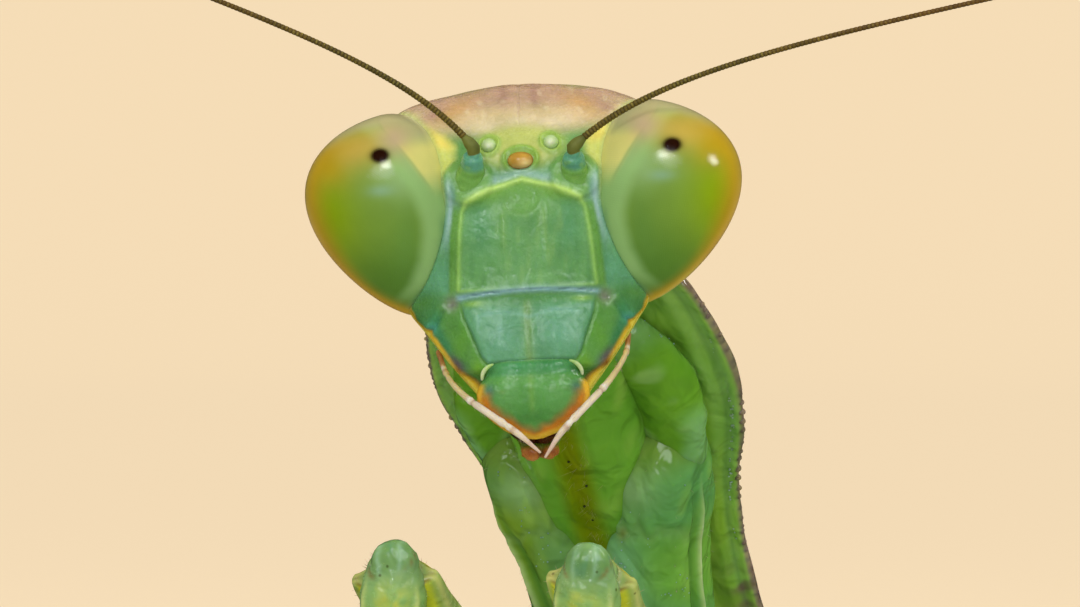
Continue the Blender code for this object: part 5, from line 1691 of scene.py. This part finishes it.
def build_fore_tibia(side, elbow, knee, shin_end, claw_tip):
    """The shin that folds against the thigh, with its claw."""
    across, _, back = limb_basis(elbow, knee, FEMUR_BACK)[1]
    far_side = -back
    lean = 0.16 if side == "right" else 0.03
    shin_head = knee + (elbow - knee) * 0.018 + far_side * 0.02 + np.array((lean, 0.3 * lean, 0.0))
    shin_start = knee + (elbow - knee) * 0.055 + far_side * 0.52
    bend = shin_start + (shin_end - shin_start) * 0.13 + far_side * 0.98
    middle = shin_start + (shin_end - shin_start) * 0.55 + far_side * 0.80
    route = smooth_route([shin_head, shin_start, bend, middle, shin_end], 200)
    places = (0, 0.03, 0.06, 0.10, 0.25, 0.5, 0.75, 1.0)
    widths = (0.52, 0.66, 0.72, 0.70, 0.64, 0.54, 0.47, 0.41)
    points, radii = rounded(route, np.interp(np.linspace(0, 1, len(route)), places, widths))
    piece = Piece()
    sides = 90
    grid = tube_rings(points, radii, sides, up=far_side, squash=0.72)
    along = lengthwise(len(points), sides)
    angle = np.linspace(0, 2 * math.pi, sides, endpoint=False)[None, :]
    keel = hump(np.abs(np.cos(angle)) - 0.80, 0.07) * ease(-0.1, 0.1, np.sin(angle)) * ease(0.04, 0.10, along)
    axis = (elbow - knee) / np.linalg.norm(elbow - knee)
    down, aside = (grid - knee) @ axis, (grid - shin_head) @ across
    head = along < 0.2
    arch = hump(np.hypot(aside / 0.24, (down - 0.06) / 0.30) - 1, 0.20)
    arch = arch * ease(0.30, 0.14, down) * ease(-0.34, -0.12, down) * head
    crease = hump(down - 0.24, 0.030) * ease(0.26, 0.42, np.abs(aside)) * head
    grid = raised(grid, 0.012 * ripple(grid, 0.5, 61) + 0.045 * keel + 0.014 * arch - 0.025 * crease)
    bend_patch = spot(np.cos(angle), along, (0.05, 0.13), (0.45, 0.06))
    knee_patch = spot(aside, down, (0.05, 0.72), (0.36, 0.30)) * ease(-0.7, 0.6, ripple(grid, 0.3, 64))
    top = ease(0.30, 0.10, down) * head
    paint = layered(
        blank(along.shape, (146, 186, 108)),
        (138, 172, 116, ease(0.10, 0.03, along)),
        (190, 196, 70, 0.85 * (bend_patch * ease(-0.4, 1.0, ripple(grid, 0.35, 62)))),
        (206, 214, 140, 0.8 * keel),
        (120, 160, 96, 0.8 * top),
        (104, 154, 118, 0.6 * top * ease(0.1, 1.0, ripple(grid, 0.35, 63))),
        # Pale on the U-shaped arch ridge at the shin's head: painted highlight
        (160, 196, 168, 0.55 * arch),
        (150, 116, 66, 0.60 * crease),
        (202, 200, 74, 0.85 * knee_patch * (along < 0.3)),
        (120, 130, 50, 0.5 * ease(0.8, 1.0, along)),
    )
    piece.grid(grid, paint)
    add_bristles(piece, grid, (8, 150), 120, 0.12, (170, 160, 96))
    for at in np.linspace(56, 190, 13):
        for row in (-1, 1):
            root = route[int(at)] + across * row * 0.2
            tip = root - far_side * (0.62 + 0.3 * at / 190) + across * row * 0.08
            line = root + (tip - root) * np.linspace(0, 1, 8)[:, None]
            tone = over(blank((8, 8), (140, 156, 70)), (48, 28, 16), lengthwise(8, 8))
            piece.grid(tube_rings(line, 0.10 * (1 - np.linspace(0, 0.95, 8)), 8), tone)
    claw_middle = route[-1] + (claw_tip - route[-1]) * 0.55 + far_side * 0.22
    claw = smooth_route([route[-1], claw_middle, claw_tip], 26)
    tone = over(blank((26, 20), (130, 130, 50)), (40, 20, 12), lengthwise(26, 20, -0.2))
    piece.grid(tube_rings(claw, 0.34 * (1 - np.linspace(0, 0.94, 26) ** 1.3), 20), tone)
    piece.build(f"front_shin_{side}", DOTTED, f"fore_tibia_{side}")


def build_fore_foot(side, elbow, knee, shin_end, toe):
    far_side = -limb_basis(elbow, knee, FEMUR_BACK)[1][2]
    middle = shin_end + (toe - shin_end) * 0.5 + far_side * 0.4
    piece = Piece()
    add_foot(piece, smooth_route([shin_end + far_side * 0.15, middle, toe], 120), None)
    piece.build(f"front_foot_{side}", CUTICLE, f"fore_tarsus_{side}")


def build_foreleg(side, sign):
    joints = (FORE_HIP, FORE_ELBOW, FORE_KNEE, FORE_SHIN_END, FORE_CLAW_TIP, FORE_TOE)
    hip, elbow, knee, shin_end, claw_tip, toe = (mirrored(p, sign) for p in joints)
    build_fore_coxa(side, sign, hip, elbow)
    build_fore_femur(side, sign, elbow, knee)
    build_fore_tibia(side, elbow, knee, shin_end, claw_tip)
    build_fore_foot(side, elbow, knee, shin_end, toe)


FOOT_JOINTS, FOOT_RADIUS = (0.30, 0.52, 0.68, 0.80), 0.30


def add_foot(piece, route, floor):
    """A foot of five joints that ends in two small hooks. It is flat below where floor is a height."""
    share = np.linspace(0, 1, len(route))
    radius = np.full(len(route), FOOT_RADIUS)
    for joint in FOOT_JOINTS:
        radius = radius + 0.05 * hump(share - joint + 0.03, 0.03) - 0.10 * hump(share - joint, 0.012)
    radius = radius * np.interp(share, (0, 0.8, 1), (1.08, 0.92, 0.78))
    points, radii = rounded(route, radius)
    grid = tube_rings(points, radii, 22)
    along = lengthwise(len(points), 22)
    paint = blank(along.shape, (120, 152, 66))
    for joint in FOOT_JOINTS:
        paint = over(paint, (96, 84, 40), 0.8 * hump(along - joint, 0.02))
    if floor is not None:
        grid[..., 2] = np.maximum(grid[..., 2], floor)
    piece.grid(grid, paint)
    add_bristles(piece, grid, (10, len(points) - 10), 60, 0.10, (150, 140, 80))
    ahead = route[-1] - route[-4]
    ahead = ahead / np.linalg.norm(ahead)
    across = np.cross(ahead, (0, 0, 1.0))
    across /= np.linalg.norm(across)
    for row in (-1, 1):
        start = route[-1] + across * row * 0.08
        tip = start + across * row * 0.26 + ahead * 0.06
        middle = (start + tip) / 2 + ahead * 0.12
        if floor is not None:
            tip[2] = max(tip[2], floor + 0.05)
        hook = smooth_route([start, middle, tip], 12)
        piece.grid(tube_rings(hook, 0.09 * (1 - np.linspace(0, 0.9, 12)), 8), srgb(70, 40, 20))


# ---------------------------------------------------------------- rear of the body


PTEROTHORAX_MIDDLE, ABDOMEN_MIDDLE = -17.5, -17.8


def build_pterothorax():
    piece = Piece()
    _, grid = long_rings(PTEROTHORAX_STATIONS, 130, 130, body_section(BODY_POWER))
    x, y, z = axes_of(grid)
    z = z - PTEROTHORAX_MIDDLE
    seam = y - 20.4 - 0.05 * z
    side_seam = 0.08 * hump(z - 0.4 + 0.1 * (y - 20), 0.18)
    lift = 0.05 * ripple(grid, 2.5, 71) - 0.10 * hump(seam, 0.16) - side_seam
    lift -= 0.08 * hump(x, 0.12) * (z < 0)
    paint = layered(
        blank(x.shape, (104, 148, 58)),
        (130, 160, 80, 0.7 * ease(0.0, -2.5, z)),
        (82, 126, 46, 0.6 * hump(seam, 0.3)),
    )
    piece.grid(raised(grid, lift), paint)
    piece.build("wing_bearer", CUTICLE, "pterothorax")


def build_abdomen():
    """The abdomen's skin, with grooves between its segments and a fold along each side."""
    piece = Piece()
    keys = np.linspace(ABDOMEN_STATIONS[0][0] + 0.2, ABDOMEN_STATIONS[-1][0], 240)
    section = body_section(ABDOMEN_POWER)
    grid = np.array([section(row, 150) for row in resample(ABDOMEN_STATIONS, keys)])
    x, y, z = axes_of(grid)
    z = z - ABDOMEN_MIDDLE
    lift = 0.04 * ripple(grid, 2.6, 75)
    paint = over(blank(x.shape, (112, 154, 62)), (146, 170, 92), 0.8 * ease(0.0, -2.6, z))
    for start in np.linspace(27.8, 54.4, 8):
        step = y - start - 0.10 * (x / 3) ** 2
        lift = lift - 0.16 * hump(step, 0.14) + 0.10 * ease(-1.6, -0.1, step) * ease(0.05, -0.05, step)
        paint = layered(
            paint,
            (150, 160, 92, 0.8 * hump(step - 0.12, 0.12)),
            (86, 124, 44, 0.6 * hump(step + 0.16, 0.10)),
        )
    edge = np.abs(x) / np.maximum(np.abs(x).max(axis=1, keepdims=True), 0.1)
    lift = lift - 0.14 * hump(z - 0.2, 0.20) * ease(0.6, 0.9, edge)
    piece.grid(raised(grid, lift), paint)
    add_bristles(piece, grid, (6, 234), 260, 0.12, (150, 150, 90))
    piece.build("abdomen_skin", CUTICLE, "abdomen_front", "abdomen_middle", "abdomen_rear", "abdomen_tip")


def build_cerci():
    for side, sign in SIDES:
        root, tip = mirrored(CERCUS_ROOT, sign), mirrored(CERCUS_TIP, sign)
        share = np.linspace(0, 1, 130)
        radius = np.interp(share, np.linspace(0, 1, 5), (0.30, 0.40, 0.38, 0.33, 0.20))
        radius = radius * (1 + 0.07 * np.sin(share * 2 * math.pi * 13))
        points, radii = rounded(root + (tip - root) * share[:, None], radius)
        grid = tube_rings(points, radii, 30)
        along = lengthwise(len(points), 30)
        piece = Piece()
        piece.grid(grid, over(blank(along.shape, (118, 148, 60)), (130, 110, 50), ease(0.5, 1.0, along)))
        add_bristles(piece, grid, (8, 132), 170, 0.22, (130, 110, 60))
        piece.build(f"tail_feeler_{side}", CUTICLE, f"cercus_{side}")


# Veins: place across the wing at its root and at its tip, and width
WING_VEINS = (
    (0.70, 0.80, 0.016),
    (0.66, 0.62, 0.010),
    (0.62, 0.46, 0.010),
    (0.55, 0.34, 0.010),
    (0.45, 0.20, 0.009),
    (0.32, 0.08, 0.009),
    (0.84, 0.94, 0.008),
)
OVERLAP_EDGE, OVERLAP_FADE, TEGMEN_THICKNESS = 5.4, 2.6, 0.40


def build_wing(side, sign, lift):
    """A folded forewing: a thin shell with raised lengthwise veins and a net of small ones."""
    rows, columns = 250, 84
    keys = np.linspace(TEGMEN_STATIONS[0][0], TEGMEN_STATIONS[-1][0], rows)
    table = resample(TEGMEN_STATIONS, keys)
    share = np.linspace(0, 1, columns)
    x = table[:, 1][:, None] + (table[:, 2] - table[:, 1])[:, None] * share
    y = keys[:, None] * np.ones((1, columns))
    height = TEGMEN_HEIGHT + lift * np.clip((OVERLAP_EDGE - x) / OVERLAP_FADE, 0, 1)
    z = height - TEGMEN_ARCH * x * x - TEGMEN_FALL * (y - keys[0])
    across = share[None, :] * np.ones((rows, 1))
    reach = (y - keys[0]) / (keys[-1] - keys[0])
    veins = np.zeros(x.shape)
    for start, end, width in WING_VEINS:
        veins = np.maximum(veins, hump(across - start - (end - start) * reach**1.3, width))
    lean = np.where(across > 0.72, -1.0, 1.0)
    place = np.stack([x, y, z], axis=-1)
    slanting = y * 1.9 + lean * across * 9.0 + 0.5 * ripple(place, 3.0, 81)
    lengthways = across * 34 + 0.4 * ripple(place, 2.0, 82)
    net = hump(np.abs(slanting % 1.0 - 0.5), 0.07) * 0.5
    net = np.maximum(net, 0.35 * hump(np.abs(lengthways % 1.0 - 0.5), 0.12))
    z = z + 0.045 * veins + 0.014 * net
    paint = layered(
        blank(x.shape, (104, 156, 58)),
        (124, 168, 74, 0.7 * net),
        (146, 184, 92, 0.8 * veins),
        (170, 190, 100, 0.8 * ease(0.955, 0.985, across)),
        (92, 140, 60, 0.5 * ease(0.10, 0.0, across)),
        (110, 92, 48, 0.6 * spot(across, reach, (0.50, 0.42), (0.03, 0.012))),
    )
    upper = np.stack([sign * x, y, z], axis=-1)
    lower = upper - np.array((0, 0, TEGMEN_THICKNESS))
    rings = np.concatenate([upper, lower[:, ::-1]], axis=1)
    piece = Piece()
    # The underside takes the top's paint darkened to 0.8: painted shade
    piece.grid(rings, np.concatenate([paint, paint[:, ::-1] * 0.8], axis=1))
    piece.build(f"forewing_shell_{side}", WING, f"forewing_{side}")


# Parts of a walking leg: its solid's name, colour, rows, bristles, and radii at shares of its length
LEG_PARTS = {
    "hip": ("coxa", (104, 146, 58), 90, 40, ((0, 1.00), (0.5, 1.18), (1, 0.84))),
    "thigh": (
        "femur", (112, 158, 70), 180, 150,
        ((0, 0.56), (0.08, 0.62), (0.3, 0.80), (0.6, 0.64), (0.88, 0.50), (0.95, 0.62), (1, 0.60)),
    ),
    "shin": (
        "tibia", (122, 158, 70), 180, 150,
        ((0, 0.50), (0.04, 0.46), (0.10, 0.38), (0.6, 0.36), (0.93, 0.38), (0.98, 0.46), (1, 0.42)),
    ),
}


def add_shin_spurs(piece, start, end):
    ahead = (end - start) / np.linalg.norm(end - start)
    side_way = np.cross(ahead, (0, 0, 1.0))
    side_way /= np.linalg.norm(side_way)
    for row in (-1, 1):
        root = end + side_way * row * 0.25 - ahead * 0.2
        piece.hair(root, root + ahead * 0.45 + side_way * row * 0.28, 0.07, srgb(110, 90, 40), sides=6)


def build_walking_leg(name, side, sign):
    joints = [mirrored(p, sign) for p in WALKING_LEGS[name]]
    for (part, settings), start, end in zip(LEG_PARTS.items(), joints, joints[1:]):
        solid, rgb, rows, bristles, widths = settings
        share = np.linspace(0, 1, rows)
        radius = np.interp(share, *zip(*widths))
        radius = np.convolve(np.pad(radius, 4, mode="edge"), np.ones(9) / 9, mode="valid")
        points, radii = rounded(start + (end - start) * share[:, None], radius)
        sides = 36
        grid = tube_rings(points, radii, sides)
        turn = np.linspace(0, 2 * math.pi, sides, endpoint=False)[None, :]
        along = lengthwise(len(points), sides)
        ridge = hump(np.sin(turn * 2.0) * np.ones_like(along), 0.16)
        ridge = ridge * ease(0.04, 0.15, along) * ease(0.96, 0.85, along)
        lift = 0.03 * ridge + 0.02 * ripple(grid, 1.1, 91)
        paint = layered(
            blank(along.shape, rgb),
            (158, 180, 106, 0.55 * ridge),
            (150, 146, 72, 0.8 * ease(0.94, 0.99, along)),
            (132, 140, 64, 0.6 * ease(0.06, 0.01, along)),
        )
        piece = Piece()
        shaped = raised(grid, lift)
        piece.grid(shaped, paint)
        add_bristles(piece, shaped, (8, len(points) - 8), bristles, 0.16, (150, 140, 80))
        if part == "shin":
            add_shin_spurs(piece, start, end)
        piece.build(f"{name}_{part}_{side}", CUTICLE, f"{name}_{solid}_{side}")
    *_, ankle, toe = joints
    sole = np.array((ankle[0], ankle[1], FLOOR + SOLE_HEIGHT))
    sole = sole + (toe - sole) * 0.12
    heel, arch = sole + (toe - sole) * 0.04, sole + (toe - sole) * 0.3
    route = smooth_route([ankle + (0, 0, 0.05), heel, arch, toe], 200)
    route[:, 2] = np.maximum(route[:, 2], FLOOR + TOE_HEIGHT)
    piece = Piece()
    add_foot(piece, route, FLOOR)
    piece.build(f"{name}_foot_{side}", CUTICLE, f"{name}_tarsus_{side}")


# ---------------------------------------------------------------- stage, light and camera


# The stage in metres: where its floor starts to bend upwards, the bend's radius and the wall's top
STAGE_FLAT, STAGE_BEND, STAGE_TOP = 2.3, 0.9, 2.2
STAGE_COLOUR, STAGE_SHADE, STAGE_GLOW = (245, 220, 181), 0.30, 0.84


def build_stage():
    """A pale floor that curves up far away all round."""
    profile = [(0.4, 0.0), (1.0, 0.0), (1.8, 0.0), (STAGE_FLAT, 0.0)]
    for a in np.linspace(0.1, math.pi / 2, 16):
        profile.append((STAGE_FLAT + STAGE_BEND * math.sin(a), STAGE_BEND * (1 - math.cos(a))))
    profile += [(STAGE_FLAT + STAGE_BEND, height) for height in (1.4, STAGE_TOP)]
    build = bmesh.new()
    turns = 96
    angles = np.linspace(0, 2 * math.pi, turns, endpoint=False)
    rows = []
    for radius, height in profile:
        rows.append([build.verts.new((radius * math.cos(a), radius * math.sin(a), height)) for a in angles])
    middle = build.verts.new((0, 0, 0))
    for i in range(turns):
        build.faces.new((middle, rows[0][i], rows[0][(i + 1) % turns]))
    for low, high in zip(rows, rows[1:]):
        for i in range(turns):
            build.faces.new((low[i], high[i], high[(i + 1) % turns], low[(i + 1) % turns]))
    bmesh.ops.recalc_face_normals(build, faces=build.faces)
    mesh = bpy.data.meshes.new("studio_floor")
    build.to_mesh(mesh)
    build.free()
    mesh.shade_smooth()
    material = bpy.data.materials.new("studio_floor")
    material.use_nodes = True
    shader = material.node_tree.nodes["Principled BSDF"]
    shader.inputs["Base Color"].default_value = (*(srgb(*STAGE_COLOUR) * STAGE_SHADE), 1.0)
    shader.inputs["Roughness"].default_value = 0.9
    shader.inputs["Emission Color"].default_value = (*srgb(*STAGE_COLOUR), 1.0)
    shader.inputs["Emission Strength"].default_value = STAGE_GLOW
    mesh.materials.append(material)
    floor = bpy.data.objects.new("studio_floor", mesh)
    bpy.context.scene.collection.objects.link(floor)
    floor.visible_diffuse = floor.visible_glossy = False


WORLD_STRENGTH = 0.56
COOL, PLAIN, WARM = (0.90, 0.96, 1.0), (1.0, 1.0, 1.0), (1.0, 0.98, 0.92)
# What a lamp may light: the body stands for all but the eyes and the stage
EVERYTHING = ("body", "left", "right", "stage")
LIT_AS = {"compound_eye_left": "left", "compound_eye_right": "right", "studio_floor": "stage"}
# Lamps: name, bearing from straight ahead of the camera, height angle, distance, size, power, colour,
# whether it shows in glossy surfaces, and what it lights
LIGHTS = (
    ("key_left", -23.0, 28.0, 330.0, 170.0, 0.22, COOL, True, ("body", "right", "stage")),
    ("key_right", 28.0, 26.0, 330.0, 170.0, 0.22, COOL, True, ("body", "left", "stage")),
    ("fill", 4.0, -3.5, 330.0, 110.0, 0.12, PLAIN, False, ("body", "left", "right")),
    ("glint_left", -23.0, 48.0, 220.0, 14.0, 0.030, PLAIN, True, ("body",)),
    ("glint_right", 28.0, 44.0, 220.0, 14.0, 0.030, PLAIN, True, ("body",)),
    ("glint_side", 104.0, 40.0, 220.0, 14.0, 0.030, PLAIN, True, ("body",)),
    ("glint_low", -14.0, 8.0, 200.0, 10.0, 0.020, (0.85, 0.94, 1.0), True, ("body",)),
    ("spark_left", -23.0, 36.0, 220.0, 24.0, 0.075, WARM, True, ("right",)),
    ("spark_right", 25.0, 31.0, 220.0, 24.0, 0.075, WARM, True, ("left",)),
    ("spark_side", 94.0, 20.0, 220.0, 24.0, 0.055, WARM, True, ("left",)),
    ("back_left", -140.0, 50.0, 420.0, 260.0, 0.35, PLAIN, False, EVERYTHING),
    ("back_right", 140.0, 50.0, 420.0, 260.0, 0.35, PLAIN, False, EVERYTHING),
)


def build_lights():
    world = bpy.data.worlds.new("studio")
    world.use_nodes = True
    sky = world.node_tree.nodes["Background"]
    sky.inputs["Color"].default_value = (1.0, 1.0, 1.0, 1.0)
    sky.inputs["Strength"].default_value = WORLD_STRENGTH
    bpy.context.scene.world = world
    world.cycles_visibility.glossy = False
    for name, bearing, rise, distance, size, power, colour, glossy, lit_parts in LIGHTS:
        light = bpy.data.lights.new(name, "AREA")
        light.shape = "DISK"
        light.size = size * MM
        light.energy = power
        light.color = colour
        turn = math.radians(VIEW_YAW + bearing)
        up = math.radians(rise)
        away = Vector((math.sin(turn) * math.cos(up), -math.cos(turn) * math.cos(up), math.sin(up)))
        lamp = bpy.data.objects.new(name, light)
        bpy.context.scene.collection.objects.link(lamp)
        lamp.location = HEAD_MIDDLE + away * distance * MM
        lamp.rotation_euler = away.to_track_quat("Z", "Y").to_euler()
        lamp.visible_camera = False
        lamp.visible_glossy = glossy
        if lit_parts != EVERYTHING:
            lit = bpy.data.collections.new(f"lit_by_{name}")
            for other in bpy.data.objects:
                if other.type == "MESH" and LIT_AS.get(other.name, "body") in lit_parts:
                    lit.objects.link(other)
            lamp.light_linking.receiver_collection = lit


VIEW_YAW, VIEW_DISTANCE, VIEW_WIDTH = 19.0, 150.0, 22.55
SENSOR_WIDTH = 36.0
AIM_ASIDE, AIM_BELOW = 0.30, 1.53
HEAD_MIDDLE = Vector((HEAD_CENTRE + SHIFT) * MM)


def build_camera():
    """Level with the face and straight before it, framing the head, the neck shield and the knees."""
    data = bpy.data.cameras.new("camera")
    data.sensor_width = SENSOR_WIDTH
    data.lens = SENSOR_WIDTH * VIEW_DISTANCE / VIEW_WIDTH
    data.clip_start, data.clip_end = 0.01, 20.0
    camera = bpy.data.objects.new("camera", data)
    bpy.context.scene.collection.objects.link(camera)
    turn = math.radians(VIEW_YAW)
    right = Vector((math.cos(turn), math.sin(turn), 0))
    forward = Vector((-math.sin(turn), math.cos(turn), 0))
    aim = HEAD_MIDDLE + right * AIM_ASIDE * MM - Vector((0, 0, AIM_BELOW * MM))
    camera.location = aim - forward * VIEW_DISTANCE * MM
    camera.rotation_euler = (math.pi / 2, 0.0, turn)
    bpy.context.scene.camera = camera


build_stage()
build_camera()
bpy.context.scene.view_settings.view_transform = "Standard"

build_head_skin()
build_upper_lip()
build_lip_lobes()
build_lower_lip()
build_palps()
build_eyes()
build_ocelli()
for feeler_side, feeler_sign in SIDES:
    build_feeler_root(feeler_side, feeler_sign)
    build_whip(feeler_side, feeler_sign)
build_pronotum()
build_breast()
build_neck()
build_shoulder_skins()
for leg_side, leg_sign in SIDES:
    build_foreleg(leg_side, leg_sign)
build_pterothorax()
build_abdomen()
build_cerci()
build_wing("right", -1.0, 0.0)
build_wing("left", 1.0, TEGMEN_OVERLAP_LIFT)
for leg_name in WALKING_LEGS:
    for leg_side, leg_sign in SIDES:
        build_walking_leg(leg_name, leg_side, leg_sign)
build_lights()
